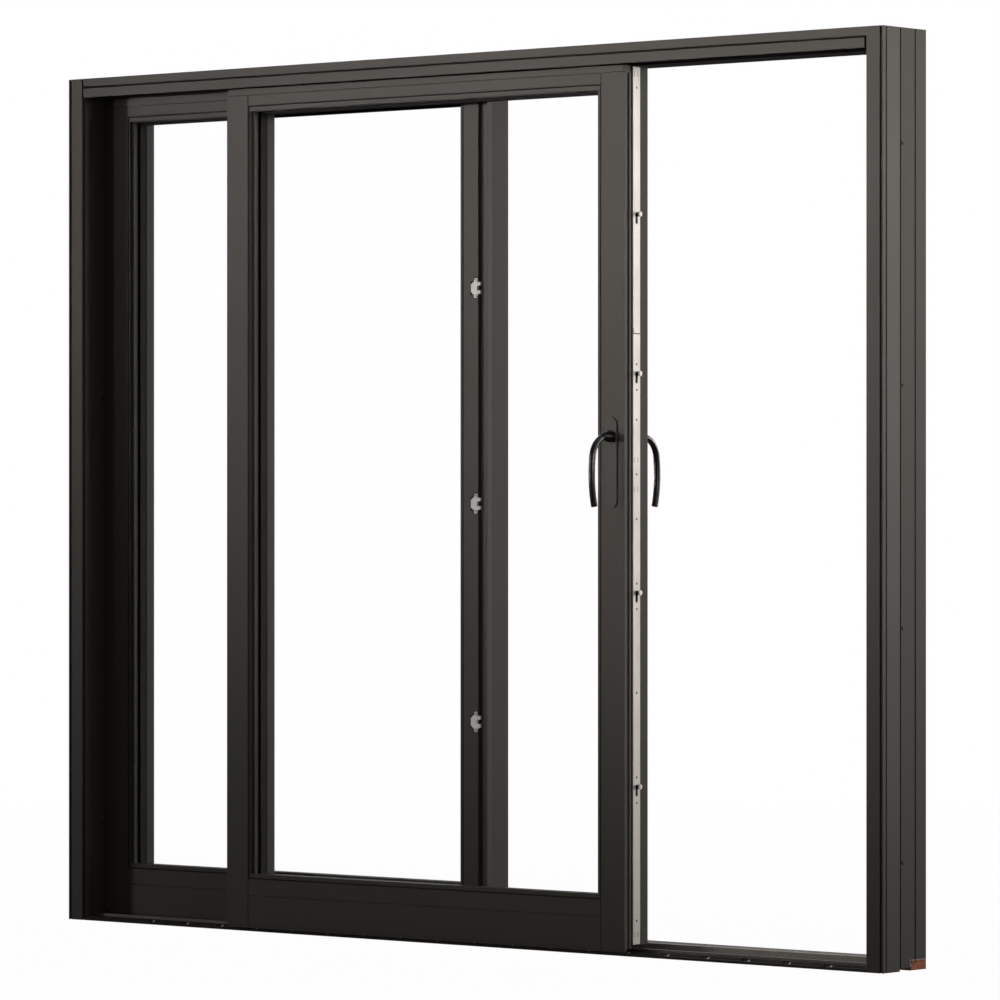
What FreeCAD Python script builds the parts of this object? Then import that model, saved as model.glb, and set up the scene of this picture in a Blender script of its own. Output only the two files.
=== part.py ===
import FreeCAD, Part
import math
import os
import Sketcher

# Sliding patio door: a frame with one fixed pane and one sliding sash.
#
# Millimetres, +Z up. The door is seen from outside looking along +Y.
# The origin is on the underside of the sill, at the middle of its width and
# of the frame's depth. Frame pieces are drawn from the frame's lower left
# outer corner (x to the right, y into the house). The pieces of each sash are
# drawn from that sash's own lower left outer corner and placed with it.

document = FreeCAD.newDocument("SlidingPatioDoor")
sheet = document.addObject("Spreadsheet::Sheet", "Sizes")


class Length:
    """A length with its value now and the expression that keeps it true."""

    def __init__(self, value, text):
        self.value = value
        self.text = text

    def __add__(self, other):
        return combine(self, "+", other)

    def __radd__(self, other):
        return combine(other, "+", self)

    def __sub__(self, other):
        return combine(self, "-", other)

    def __rsub__(self, other):
        return combine(other, "-", self)

    def __mul__(self, factor):
        return combine(self, "*", factor)

    def __rmul__(self, factor):
        return combine(factor, "*", self)

    def __truediv__(self, divisor):
        return combine(self, "/", divisor)

    def __neg__(self):
        return combine(0, "-", self)


def as_length(value):
    return value if isinstance(value, Length) else Length(float(value), repr(float(value)))


def combine(first, sign, second):
    first = as_length(first)
    second = as_length(second)
    results = {
        "+": first.value + second.value,
        "-": first.value - second.value,
        "*": first.value * second.value,
    }
    value = first.value / second.value if sign == "/" else results[sign]
    return Length(value, "(%s %s %s)" % (first.text, sign, second.text))


size_count = 0


def size(name, value):
    """Writes one named size into the sheet and returns it as a Length."""
    global size_count
    size_count += 1
    cell = "B%d" % size_count
    sheet.set("A%d" % size_count, name)
    sheet.set(cell, "%g" % value)
    sheet.setAlias(cell, name)
    return Length(float(value), "Sizes." + name)


# Frame
frame_width = size("frame_width", 2490)
frame_height = size("frame_height", 2090)
jamb_face = size("jamb_face", 45)
jamb_stop = size("jamb_stop", 14)
cladding_setback = size("cladding_setback", 14)
corner_groove_from = size("corner_groove_from", 3.6)
corner_groove_width = size("corner_groove_width", 5.4)
corner_groove_depth = size("corner_groove_depth", 8)
side_groove_from = size("side_groove_from", 10)
side_groove_width = size("side_groove_width", 5)
side_groove_depth = size("side_groove_depth", 2.5)
joint_groove_width = size("joint_groove_width", 4)
joint_groove_depth = size("joint_groove_depth", 6)
side_step_inset = size("side_step_inset", 46)
side_step_width = size("side_step_width", 7)
side_step_depth = size("side_step_depth", 1.5)
lip_width = size("lip_width", 5)
lip_setback = size("lip_setback", 7)
core_foot = size("core_foot", 6)

# Head
head_band = size("head_band", 23)
head_gap = size("head_gap", 1.5)
head_nose_lift = size("head_nose_lift", 3)
head_groove_depth = size("head_groove_depth", 10)
cover_end_gap = size("cover_end_gap", 5.5)
cover_leg = size("cover_leg", 14)
head_drop = size("head_drop", 47)
track_cover_thickness = size("track_cover_thickness", 6)
guide_wall = size("guide_wall", 3)
guide_web = size("guide_web", 4)
guide_mouth_height = size("guide_mouth_height", 2)

# Threshold
threshold_height = size("threshold_height", 24)
tread_thickness = size("tread_thickness", 2)
tread_skirt_bottom = size("tread_skirt_bottom", 8)
kerf_width = size("kerf_width", 4)
kerf_depth = size("kerf_depth", 6)
kerf_front = size("kerf_front", 20)
kerf_back = size("kerf_back", 44)
tread_rib_pitch = size("tread_rib_pitch", 9)
tread_rib_width = size("tread_rib_width", 4)
tread_rib_depth = size("tread_rib_depth", 0.8)
core_gap = size("core_gap", 0.5)
sill_setback = size("sill_setback", 1)
nose_front_height = size("nose_front_height", 6)
nose_ridge_height = size("nose_ridge_height", 10.5)
nose_ridge_from = size("nose_ridge_from", 8)
nose_ridge_width = size("nose_ridge_width", 4)
sill_deck_height = size("sill_deck_height", 8)
rail_width = size("rail_width", 6)
rail_seat_width = size("rail_seat_width", 14)
rail_seat_height = size("rail_seat_height", 10)
rail_top = size("rail_top", 17)
upstand_width = size("upstand_width", 4)
upstand_height = size("upstand_height", 12)
notch_pitch = size("notch_pitch", 114.5)
notch_width = size("notch_width", 22)
notch_floor = size("notch_floor", 6.5)
notch_inset = size("notch_inset", 98)

notch_count = 19
tread_rib_count = 5

# Sashes
sash_overlap = size("sash_overlap", 77)
closing_gap = size("closing_gap", 5)
sash_depth = size("sash_depth", 86)
sash_gap = size("sash_gap", 6)
sash_proud = size("sash_proud", 14)
sash_rest = size("sash_rest", 546)
sash_head_gap = size("sash_head_gap", 5.5)
stile_face = size("stile_face", 68)
stile_room_face = size("stile_room_face", 88)
bottom_face_top = size("bottom_face_top", 127.7)
bottom_room_top = size("bottom_room_top", 137)
top_face = size("top_face", 24.3)
top_room_face = size("top_room_face", 59.5)
sash_cladding_depth = size("sash_cladding_depth", 24.5)
edge_lip = size("edge_lip", 9.5)
edge_groove = size("edge_groove", 9)
edge_groove_depth = size("edge_groove_depth", 6)
timber_rebate = size("timber_rebate", 8)
bead_seat_depth = size("bead_seat_depth", 8)
bead_seat_width = size("bead_seat_width", 6)
bead_edge_back = size("bead_edge_back", 4)
bead_gap = size("bead_gap", 2)
bead_side_face = size("bead_side_face", 5)
bead_rail_face = size("bead_rail_face", 11)
bead_face_setback = size("bead_face_setback", 1.5)
glass_front = size("glass_front", 20)
glass_thickness = size("glass_thickness", 28)
glass_cover = size("glass_cover", 14)
glass_edge_gap = size("glass_edge_gap", 2)
seal_thickness = size("seal_thickness", 2)
seal_inset = size("seal_inset", 4)
reveal_chamfer_depth = size("reveal_chamfer_depth", 12)
reveal_chamfer_width = size("reveal_chamfer_width", 8)
cover_panel_top = size("cover_panel_top", 87.5)
cover_joint = size("cover_joint", 1.5)
stile_joint = size("stile_joint", 1.5)
cover_panel_bottom = size("cover_panel_bottom", 15.7)
drip_lip_bottom = size("drip_lip_bottom", 9)
drip_lip_depth = size("drip_lip_depth", 6)
hood_height = size("hood_height", 16.5)
hood_face = size("hood_face", 13)
hood_setback = size("hood_setback", 3)
hood_proud = size("hood_proud", 1)
hood_line = size("hood_line", 1.5)
hood_line_depth = size("hood_line_depth", 5)
hood_end_gap = size("hood_end_gap", 3)
shoe_thickness = size("shoe_thickness", 10)
shoe_length = size("shoe_length", 90)
shoe_inset = size("shoe_inset", 110)
shoe_clearance = size("shoe_clearance", 5)
track_place = size("track_place", 51)
track_groove_width = size("track_groove_width", 20)
track_groove_top = size("track_groove_top", 52)
interlock_width = size("interlock_width", 23)
interlock_setback = size("interlock_setback", 8)
interlock_rib = size("interlock_rib", 9)
interlock_joint = size("interlock_joint", 3)
interlock_rib_proud = size("interlock_rib_proud", 2)
interlock_end_gap = size("interlock_end_gap", 8)
interlock_slot = size("interlock_slot", 2)
interlock_slot_depth = size("interlock_slot_depth", 4)

# Rollers
wheel_radius = size("wheel_radius", 12)
wheel_thickness = size("wheel_thickness", 8)
wheel_gap = size("wheel_gap", 0.3)
carriage_length = size("carriage_length", 120)
carriage_inset = size("carriage_inset", 90)
carriage_bottom = size("carriage_bottom", 33)

# Lock strip and rod in the leading edge of the sliding sash
strip_from = size("strip_from", 32.5)
strip_width = size("strip_width", 25.5)
strip_thickness = size("strip_thickness", 3)
strip_end_gap = size("strip_end_gap", 2)
rod_channel_width = size("rod_channel_width", 16)
rod_channel_depth = size("rod_channel_depth", 16)
rod_width = size("rod_width", 12)
rod_thickness = size("rod_thickness", 5)
rod_clearance = size("rod_clearance", 1)
rod_travel = size("rod_travel", 18)
cam_neck_radius = size("cam_neck_radius", 3.5)
cam_head_radius = size("cam_head_radius", 6)
cam_head_thickness = size("cam_head_thickness", 3)
cam_proud = size("cam_proud", 12)
rod_end = size("rod_end", 60)
slot_clearance = size("slot_clearance", 1)
cam_height_low = size("cam_height_low", 387)
cam_height_lower_middle = size("cam_height_lower_middle", 831)
cam_height_upper_middle = size("cam_height_upper_middle", 1333)
cam_height_high = size("cam_height_high", 1698)
lock_recess_depth = size("lock_recess_depth", 14)
lock_recess_margin = size("lock_recess_margin", 2)

# Handle
handle_edge = size("handle_edge", 38)
handle_height = size("handle_height", 1188)
plate_below = size("plate_below", 164)
plate_above = size("plate_above", 45)
plate_width = size("plate_width", 35)
plate_thickness = size("plate_thickness", 3)
lever_radius = size("lever_radius", 7.5)
neck_radius = size("neck_radius", 13)
neck_rim = size("neck_rim", 4)
neck_length = size("neck_length", 26)
lever_reach_outside = size("lever_reach_outside", 72)
lever_reach_inside = size("lever_reach_inside", 84)
lever_bend = size("lever_bend", 50)
lever_bow = size("lever_bow", 293)
lever_belly = size("lever_belly", 85)
lever_drop = size("lever_drop", 159)
spindle_side = size("spindle_side", 8)
spindle_gap = size("spindle_gap", 0.5)
spindle_hole_radius = size("spindle_hole_radius", 7)

# Keepers on the fixed meeting stile
keeper_length = size("keeper_length", 28)
keeper_width = size("keeper_width", 28)
keeper_overhang = size("keeper_overhang", 6)
keeper_mouth_height = size("keeper_mouth_height", 11)
keeper_mouth_depth = size("keeper_mouth_depth", 9)
keeper_notch = size("keeper_notch", 4)
keeper_lug_radius = size("keeper_lug_radius", 5)
keeper_lug_reach = size("keeper_lug_reach", 24)
keeper_hole_radius = size("keeper_hole_radius", 2)
keeper_hole_place = size("keeper_hole_place", 19)
keeper_margin = size("keeper_margin", 2)
keeper_proud = size("keeper_proud", 0.8)
keeper_depth = size("keeper_depth", 5)
keeper_height_low = size("keeper_height_low", 521)
keeper_height_middle = size("keeper_height_middle", 1035)
keeper_height_high = size("keeper_height_high", 1543)

# Fixing holes through the jambs
fixing_radius = size("fixing_radius", 4)
fixing_setback = size("fixing_setback", 8)
fixing_low = size("fixing_low", 239)
fixing_low_step = size("fixing_low_step", 520)
fixing_high_inset = size("fixing_high_inset", 257)
fixing_high_step = size("fixing_high_step", 536)

document.recompute()

# Places worked out from the sizes
stop_face = jamb_face + jamb_stop
sliding_front = -sash_proud
fixed_front = sliding_front + sash_depth + sash_gap
frame_depth = fixed_front + sash_depth
cladding_depth = fixed_front - cladding_setback
side_step_from = frame_depth - side_step_inset
fixing_place = cladding_depth + fixing_setback
fixing_high = frame_height - fixing_high_inset
fixing_heights = [fixing_low, fixing_low + fixing_low_step,
                  fixing_high - fixing_high_step, fixing_high]
core_front = fixed_front + sash_cladding_depth + core_gap
upstand_from = fixed_front - upstand_width
rail_place = sliding_front + track_place
cam_heights = [cam_height_low, cam_height_lower_middle,
               cam_height_upper_middle, cam_height_high]
keeper_heights = [keeper_height_low, keeper_height_middle, keeper_height_high]
fixed_left = stop_face
head_underside = frame_height - head_drop
sash_width = (frame_width - jamb_face - closing_gap - stop_face + sash_overlap) / 2
sash_top = head_underside - sash_head_gap
hood_bottom = sash_top - hood_height
top_face_bottom = hood_bottom - top_face
top_room_bottom = sash_top - top_room_face
track_middle = track_place
groove_end = edge_lip + edge_groove
timber_front = sash_cladding_depth
rebate_back = glass_front + glass_thickness + seal_thickness

FRAME_PLACE = (-frame_width / 2, -frame_depth / 2, as_length(0))
FIXED_PLACE = (fixed_left - frame_width / 2, fixed_front - frame_depth / 2, as_length(0))
SLIDING_PLACE = (sash_rest - frame_width / 2, sliding_front - frame_depth / 2, as_length(0))

bodies = []


def new_body(label, place):
    """Starts one piece of the door at the place of its assembly."""
    body = document.addObject("PartDesign::Body", label)
    body.Label = label
    for axis, length in zip("xyz", place):
        body.setExpression("Placement.Base." + axis, length.text)
    bodies.append(body)
    return body


def bind(sketch, kind, *arguments):
    """Adds a dimension whose value follows the sheet."""
    length = as_length(arguments[-1])
    index = sketch.addConstraint(Sketcher.Constraint(kind, *arguments[:-1], length.value))
    sketch.setExpression("Constraints[%d]" % index, length.text)


def draw_outline(sketch, points):
    """Draws a closed outline of straight lines through the points."""
    points = [(as_length(first), as_length(second)) for first, second in points]
    corners = [FreeCAD.Vector(first.value, second.value, 0) for first, second in points]
    start = sketch.GeometryCount
    count = len(points)
    for number, corner in enumerate(corners):
        sketch.addGeometry(Part.LineSegment(corner, corners[(number + 1) % count]))
    for number in range(count):
        following = start + (number + 1) % count
        sketch.addConstraint(Sketcher.Constraint("Coincident", start + number, 2, following, 1))
    for number, (first, second) in enumerate(points):
        bind(sketch, "DistanceX", -1, 1, start + number, 1, first)
        bind(sketch, "DistanceY", -1, 1, start + number, 1, second)


def draw_circle(sketch, middle, radius):
    """Draws a circle about the middle."""
    middle = [as_length(length) for length in middle]
    centre = FreeCAD.Vector(middle[0].value, middle[1].value, 0)
    index = sketch.addGeometry(Part.Circle(centre, FreeCAD.Vector(0, 0, 1), radius.value))
    bind(sketch, "DistanceX", -1, 1, index, 3, middle[0])
    bind(sketch, "DistanceY", -1, 1, index, 3, middle[1])
    bind(sketch, "Radius", index, radius)


def draw_stadium(sketch, across, bottom, top, radius):
    """Draws an upright slot shape with round ends, from bottom to top."""
    low = bottom + radius
    high = top - radius
    up = FreeCAD.Vector(0, 0, 1)
    arcs = []
    for level, from_angle, to_angle in ((high, 0, math.pi), (low, math.pi, 2 * math.pi)):
        circle = Part.Circle(FreeCAD.Vector(across.value, level.value, 0), up, radius.value)
        arc = sketch.addGeometry(Part.ArcOfCircle(circle, from_angle, to_angle))
        bind(sketch, "DistanceX", -1, 1, arc, 3, across)
        bind(sketch, "DistanceY", -1, 1, arc, 3, level)
        bind(sketch, "Radius", arc, radius)
        arcs.append(arc)
    left = across.value - radius.value
    right = across.value + radius.value
    falling = sketch.addGeometry(Part.LineSegment(
        FreeCAD.Vector(left, high.value, 0), FreeCAD.Vector(left, low.value, 0)))
    rising = sketch.addGeometry(Part.LineSegment(
        FreeCAD.Vector(right, low.value, 0), FreeCAD.Vector(right, high.value, 0)))
    for first, first_end, second, second_end in (
            (arcs[0], 2, falling, 1), (falling, 2, arcs[1], 1),
            (arcs[1], 2, rising, 1), (rising, 2, arcs[0], 1)):
        sketch.addConstraint(
            Sketcher.Constraint("Tangent", first, first_end, second, second_end))


def new_sketch(body, plane, offset, name):
    """Attaches a sketch to the body's own plane, moved along its axis."""
    origin_plane = [item for item in body.Origin.OriginFeatures if item.Role == plane][0]
    sketch = body.newObject("Sketcher::SketchObject", name)
    sketch.AttachmentSupport = [(origin_plane, "")]
    sketch.MapMode = "FlatFace"
    offset = -offset if plane == "XZ_Plane" else offset
    sketch.setExpression("AttachmentOffset.Base.z", as_length(offset).text)
    return sketch


def draw(sketch, shapes):
    """Draws every shape: an outline, a circle or a stadium."""
    for shape in shapes:
        if isinstance(shape, list):
            draw_outline(sketch, shape)
        elif shape[0] == "circle":
            draw_circle(sketch, shape[1], shape[2])
        else:
            draw_stadium(sketch, *shape[1:])


def pad(body, plane, start, end, *shapes):
    """Adds material between two places along the plane's axis."""
    name = "%s_outline_%d" % (body.Label, len(body.Group))
    sketch = new_sketch(body, plane, start, name)
    draw(sketch, shapes)
    feature = body.newObject("PartDesign::Pad", name + "_pad")
    feature.Profile = sketch
    feature.Reversed = plane == "XZ_Plane"
    feature.setExpression("Length", (end - start).text)
    return feature


def pocket(body, plane, start, end, *shapes):
    """Cuts material away between two places along the plane's axis."""
    name = "%s_cut_%d" % (body.Label, len(body.Group))
    from_start = plane == "XZ_Plane"
    sketch = new_sketch(body, plane, start if from_start else end, name)
    draw(sketch, shapes)
    feature = body.newObject("PartDesign::Pocket", name + "_pocket")
    feature.Profile = sketch
    feature.setExpression("Length", (end - start).text)
    return feature


def rectangle(low_first, low_second, high_first, high_second):
    return [(low_first, low_second), (high_first, low_second),
            (high_first, high_second), (low_first, high_second)]


ZERO = as_length(0)


def jamb(side):
    """One upright of the frame: the outer cladding and the core behind it.

    The outline runs from the frame's outer edge inwards. The left one has a
    lip along its inner face, the right one a channel that the cams enter.
    """
    def across(distance):
        return frame_width - distance if side == "right" else as_length(distance)

    groove_far = corner_groove_from + corner_groove_width
    channel_front = sliding_front + strip_from - lock_recess_margin
    channel_back = sliding_front + strip_from + strip_width + lock_recess_margin
    if side == "right":
        inner = [(across(jamb_face), channel_front),
                 (across(jamb_face - lock_recess_depth), channel_front),
                 (across(jamb_face - lock_recess_depth), channel_back),
                 (across(jamb_face), channel_back),
                 (across(jamb_face), cladding_depth)]
    else:
        inner = [(across(jamb_face), lip_setback),
                 (across(jamb_face + lip_width), lip_setback),
                 (across(jamb_face + lip_width), cladding_depth)]
    outline = [
        (across(0), ZERO),
        (across(corner_groove_from), ZERO),
        (across(corner_groove_from), corner_groove_depth),
        (across(groove_far), corner_groove_depth),
        (across(groove_far), ZERO),
        (across(jamb_face), ZERO),
        *inner,
        (across(0), cladding_depth),
        (across(0), side_groove_from + side_groove_width),
        (across(side_groove_depth), side_groove_from + side_groove_width),
        (across(side_groove_depth), side_groove_from),
        (across(0), side_groove_from),
    ]
    cladding = new_body("jamb_cladding_" + side, FRAME_PLACE)
    pad(cladding, "XY_Plane", ZERO, frame_height, outline)

    core = new_body("jamb_" + side, FRAME_PLACE)
    joint_back = cladding_depth + joint_groove_width
    pad(core, "XY_Plane", threshold_height, frame_height, [
        (across(joint_groove_depth), cladding_depth),
        (across(jamb_face), cladding_depth),
        (across(jamb_face), fixed_front),
        (across(stop_face), fixed_front),
        (across(stop_face), frame_depth),
        (across(0), frame_depth),
        (across(0), side_step_from + side_step_width),
        (across(side_step_depth), side_step_from + side_step_width),
        (across(side_step_depth), side_step_from),
        (across(0), side_step_from),
        (across(0), joint_back),
        (across(joint_groove_depth), joint_back),
    ])
    pad(core, "XY_Plane", core_foot, threshold_height, [
        (across(joint_groove_depth), cladding_depth),
        (across(jamb_face), cladding_depth),
        (across(jamb_face), core_front - core_gap),
        (across(0), core_front - core_gap),
        (across(0), joint_back),
        (across(joint_groove_depth), joint_back),
    ])
    low = frame_width - jamb_face if side == "right" else ZERO
    pocket(core, "YZ_Plane", low, low + jamb_face,
           *[("circle", (fixing_place, height), fixing_radius) for height in fixing_heights])


def head():
    """The head: cladding band, track cover, core and the guide channel."""
    left = jamb_face + lip_width
    right = frame_width - jamb_face
    band_bottom = frame_height - head_band
    cladding = new_body("head_cladding", FRAME_PLACE)
    pad(cladding, "YZ_Plane", left, right, [
        (ZERO, band_bottom + head_nose_lift),
        (head_groove_depth, band_bottom + head_nose_lift),
        (head_groove_depth, band_bottom),
        (fixed_front, band_bottom),
        (fixed_front, frame_height),
        (ZERO, frame_height),
    ])

    cover = new_body("head_track_cover", FRAME_PLACE)
    cover_back = track_cover_thickness
    cover_top = band_bottom - head_gap
    pad(cover, "YZ_Plane", left, right - cover_end_gap, [
        (ZERO, head_underside),
        (cover_back, head_underside),
        (cover_back, cover_top - guide_wall),
        (cover_leg, cover_top - guide_wall),
        (cover_leg, band_bottom),
        (head_groove_depth, band_bottom),
        (head_groove_depth, cover_top),
        (ZERO, cover_top),
    ])

    core = new_body("head", FRAME_PLACE)
    pad(core, "YZ_Plane", stop_face, frame_width - stop_face,
        rectangle(fixed_front, head_underside, frame_depth, frame_height))

    channel = new_body("head_guide_channel", FRAME_PLACE)
    inner = shoe_thickness / 2 + shoe_clearance
    outer = inner + guide_wall
    mouth = head_underside + guide_mouth_height
    web = band_bottom - guide_web
    pad(channel, "YZ_Plane", left, right, [
        (rail_place - outer, mouth),
        (rail_place - inner, mouth),
        (rail_place - inner, web),
        (rail_place + inner, web),
        (rail_place + inner, mouth),
        (rail_place + outer, mouth),
        (rail_place + outer, band_bottom),
        (rail_place - outer, band_bottom),
    ])


def threshold():
    """The threshold: aluminium sill, running rail, core and tread plate."""
    left = jamb_face + lip_width
    right = frame_width - jamb_face
    ridge_back = nose_ridge_from + nose_ridge_width
    seat_front = rail_place - rail_seat_width / 2
    seat_back = rail_place + rail_seat_width / 2
    sill = new_body("threshold_sill", FRAME_PLACE)
    pad(sill, "YZ_Plane", left, right, [
        (sill_setback, ZERO),
        (core_front, ZERO),
        (core_front, sill_deck_height),
        (upstand_from + upstand_width, sill_deck_height),
        (upstand_from + upstand_width, upstand_height),
        (upstand_from, upstand_height),
        (upstand_from, sill_deck_height),
        (seat_back, sill_deck_height),
        (seat_back, rail_seat_height),
        (seat_front, rail_seat_height),
        (seat_front, sill_deck_height),
        (ridge_back + nose_ridge_width / 2, sill_deck_height),
        (ridge_back, nose_ridge_height),
        (nose_ridge_from, nose_ridge_height),
        (nose_ridge_from - nose_ridge_width / 2, sill_deck_height),
        (sill_setback, nose_front_height),
    ])
    notch_right = frame_width - jamb_face - notch_inset
    notch = pocket(sill, "XZ_Plane", ZERO, ridge_back + nose_ridge_width, rectangle(
        notch_right - notch_width, notch_floor, notch_right, nose_ridge_height + 1))
    notches = sill.newObject("PartDesign::LinearPattern", "drain_notches")
    notches.Originals = [notch]
    notches.Direction = (notch.Profile[0], ["H_Axis"])
    notches.Reversed = True
    notches.setExpression("Length", (notch_pitch * (notch_count - 1)).text)
    notches.Occurrences = notch_count
    sill.Tip = notches

    rail = new_body("running_rail", FRAME_PLACE)
    pad(rail, "YZ_Plane", left, right, rectangle(
        rail_place - rail_width / 2, rail_seat_height, rail_place + rail_width / 2, rail_top))

    core = new_body("threshold_core", FRAME_PLACE)
    core_top = threshold_height - tread_thickness
    core_face = core_front + tread_thickness
    kerf_floor = core_top - kerf_depth
    kerfs = []
    for kerf in (core_face + kerf_back, core_face + kerf_front):
        kerfs += [(kerf, core_top), (kerf, kerf_floor),
                  (kerf - kerf_width, kerf_floor), (kerf - kerf_width, core_top)]
    pad(core, "YZ_Plane", ZERO, frame_width, [
        (core_face, ZERO),
        (frame_depth, ZERO),
        (frame_depth, core_top),
        *kerfs,
        (core_face + kerf_depth, core_top),
        (core_face + kerf_depth, kerf_floor),
        (core_face, kerf_floor),
    ])

    tread = new_body("tread_plate", FRAME_PLACE)
    ribs = []
    for number in range(tread_rib_count):
        rib_back = frame_depth - tread_rib_pitch * number
        rib_front = rib_back - tread_rib_width
        groove_floor = threshold_height - tread_rib_depth
        next_back = frame_depth - tread_rib_pitch * (number + 1)
        ribs += [(rib_back, threshold_height), (rib_front, threshold_height),
                 (rib_front, groove_floor), (next_back, groove_floor)]
    pad(tread, "YZ_Plane", ZERO, frame_width, [
        (core_front, tread_skirt_bottom),
        (core_face, tread_skirt_bottom),
        (core_face, core_top),
        (frame_depth, core_top),
        *ribs,
        (frame_depth - tread_rib_pitch * tread_rib_count, threshold_height),
        (core_front, threshold_height),
    ])


def from_left(distance):
    return as_length(distance)


def from_right(distance):
    return sash_width - distance


def stile(label, place, top, across, edge):
    """The timber of one stile; across measures from its outer edge."""
    glass_side = stile_room_face - glass_cover - glass_edge_gap
    body = new_body(label, place)
    pad(body, "XY_Plane", threshold_height, top, [
        (across(glass_side), timber_front),
        (across(glass_side), rebate_back),
        (across(stile_room_face), rebate_back),
        (across(stile_room_face), sash_depth - reveal_chamfer_depth),
        (across(stile_room_face - reveal_chamfer_width), sash_depth),
        *[(across(distance), depth) for distance, depth in edge],
    ])
    return body


def plain_edge():
    """A stile edge that another piece covers or that butts the frame."""
    return [(ZERO, sash_depth), (ZERO, timber_front)]


def rear_edge():
    """The rear stile's edge, rebated at the back for its interlock."""
    interlock_front = sash_depth - timber_front
    return [(interlock_width, sash_depth), (interlock_width, interlock_front),
            (ZERO, interlock_front), (ZERO, timber_front + timber_rebate),
            (edge_groove_depth, timber_front + timber_rebate),
            (edge_groove_depth, timber_front)]


def leading_edge():
    """The leading edge: a seat for the strip and a channel for the rod."""
    strip_back = strip_from + strip_width
    middle = strip_from + strip_width / 2
    rod_front = middle - rod_channel_width / 2
    rod_back = middle + rod_channel_width / 2
    rod_far = strip_thickness + rod_channel_depth
    return [(ZERO, sash_depth), (ZERO, strip_back), (strip_thickness, strip_back),
            (strip_thickness, rod_back), (rod_far, rod_back),
            (rod_far, rod_front), (strip_thickness, rod_front),
            (strip_thickness, strip_from), (edge_groove_depth, strip_from),
            (edge_groove_depth, timber_front)]


def stile_cladding(label, place, across, edge):
    """The aluminium face of a stile, with the seat of the glazing bead."""
    inner = stile_face - bead_seat_width
    body = new_body(label, place)
    pad(body, "XY_Plane", cover_panel_bottom, hood_bottom, [
        (across(stile_face), ZERO),
        (across(stile_face), bead_seat_depth),
        (across(inner), bead_seat_depth),
        (across(inner), timber_front),
        *[(across(distance), depth) for distance, depth in edge],
    ])
    return body


def ribbed_cladding_edge():
    """A lip, a groove and a rib along the free edge of a stile."""
    return [(ZERO, timber_front), (ZERO, groove_end), (edge_groove_depth, groove_end),
            (edge_groove_depth, edge_lip), (ZERO, edge_lip), (ZERO, ZERO)]


def interlock(label, place, across, depth_of):
    """The narrow ribbed profile where the two sashes meet."""
    rib_end = interlock_width - interlock_rib
    slot_end = rib_end - interlock_slot
    slot_floor = interlock_setback + interlock_slot_depth
    body = new_body(label, place)
    pad(body, "XY_Plane", cover_panel_bottom + interlock_end_gap, hood_bottom, [
        (across(distance), depth_of(depth)) for distance, depth in (
            (interlock_width - interlock_joint, interlock_setback),
            (rib_end, interlock_setback),
            (rib_end, slot_floor),
            (slot_end, slot_floor),
            (slot_end, interlock_setback - interlock_rib_proud),
            (ZERO, interlock_setback - interlock_rib_proud),
            (ZERO, timber_front),
            (interlock_width - interlock_joint, timber_front))])
    return body


def sash_rails(name, place, top):
    """The timber rails between the stiles, with the rebate of the glass."""
    left = stile_room_face
    right = sash_width - stile_room_face
    chamfered = sash_depth - reveal_chamfer_depth
    glass_bottom = bottom_room_top - glass_cover - glass_edge_gap
    glass_top = top_room_bottom + glass_cover + glass_edge_gap
    bottom_rail = new_body(name + "_rail_bottom", place)
    pad(bottom_rail, "YZ_Plane", left, right, [
        (timber_front, threshold_height),
        (sash_depth, threshold_height),
        (sash_depth, bottom_room_top - reveal_chamfer_width),
        (chamfered, bottom_room_top),
        (rebate_back, bottom_room_top),
        (rebate_back, glass_bottom),
        (timber_front, glass_bottom),
    ])
    top_rail = new_body(name + "_rail_top", place)
    pad(top_rail, "YZ_Plane", left, right, [
        (timber_front, glass_top),
        (rebate_back, glass_top),
        (rebate_back, top_room_bottom),
        (chamfered, top_room_bottom),
        (sash_depth, top_room_bottom + reveal_chamfer_width),
        (sash_depth, top),
        (timber_front, top),
    ])
    return bottom_rail


def rail_claddings(name, place, top):
    """The aluminium faces of the rails, the lower cover and the top hood."""
    left = stile_face + stile_joint
    right = sash_width - stile_face - stile_joint
    joint = cover_panel_top + cover_joint
    bottom_cladding = new_body(name + "_cladding_bottom", place)
    pad(bottom_cladding, "YZ_Plane", left, right, [
        (ZERO, joint),
        (timber_front, joint),
        (timber_front, bottom_face_top - bead_seat_width),
        (bead_seat_depth, bottom_face_top - bead_seat_width),
        (bead_seat_depth, bottom_face_top),
        (ZERO, bottom_face_top),
    ])
    cover = new_body(name + "_bottom_cover", place)
    pad(cover, "YZ_Plane", left, right, [
        (ZERO, cover_panel_bottom),
        (timber_front, cover_panel_bottom),
        (timber_front, joint),
        (cover_joint * 2, joint),
        (cover_joint * 2, cover_panel_top),
        (ZERO, cover_panel_top),
    ])
    pad(cover, "YZ_Plane", ZERO, sash_width, rectangle(
        cover_joint, drip_lip_bottom, cover_joint + drip_lip_depth, cover_panel_bottom))
    top_cladding = new_body(name + "_cladding_top", place)
    pad(top_cladding, "YZ_Plane", left, right, [
        (ZERO, top_face_bottom),
        (bead_seat_depth, top_face_bottom),
        (bead_seat_depth, top_face_bottom + bead_seat_width),
        (timber_front, top_face_bottom + bead_seat_width),
        (timber_front, hood_bottom),
        (ZERO, hood_bottom),
    ])
    hood = new_body(name + "_top_hood", place)
    pad(hood, "YZ_Plane", as_length(hood_end_gap), sash_width - hood_end_gap, [
        (-hood_proud, hood_bottom + hood_line),
        (hood_line_depth, hood_bottom + hood_line),
        (hood_line_depth, hood_bottom),
        (timber_front, hood_bottom),
        (timber_front, top),
        (hood_setback, top),
        (hood_setback, hood_bottom + hood_face),
        (-hood_proud, hood_bottom + hood_face),
    ])


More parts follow.
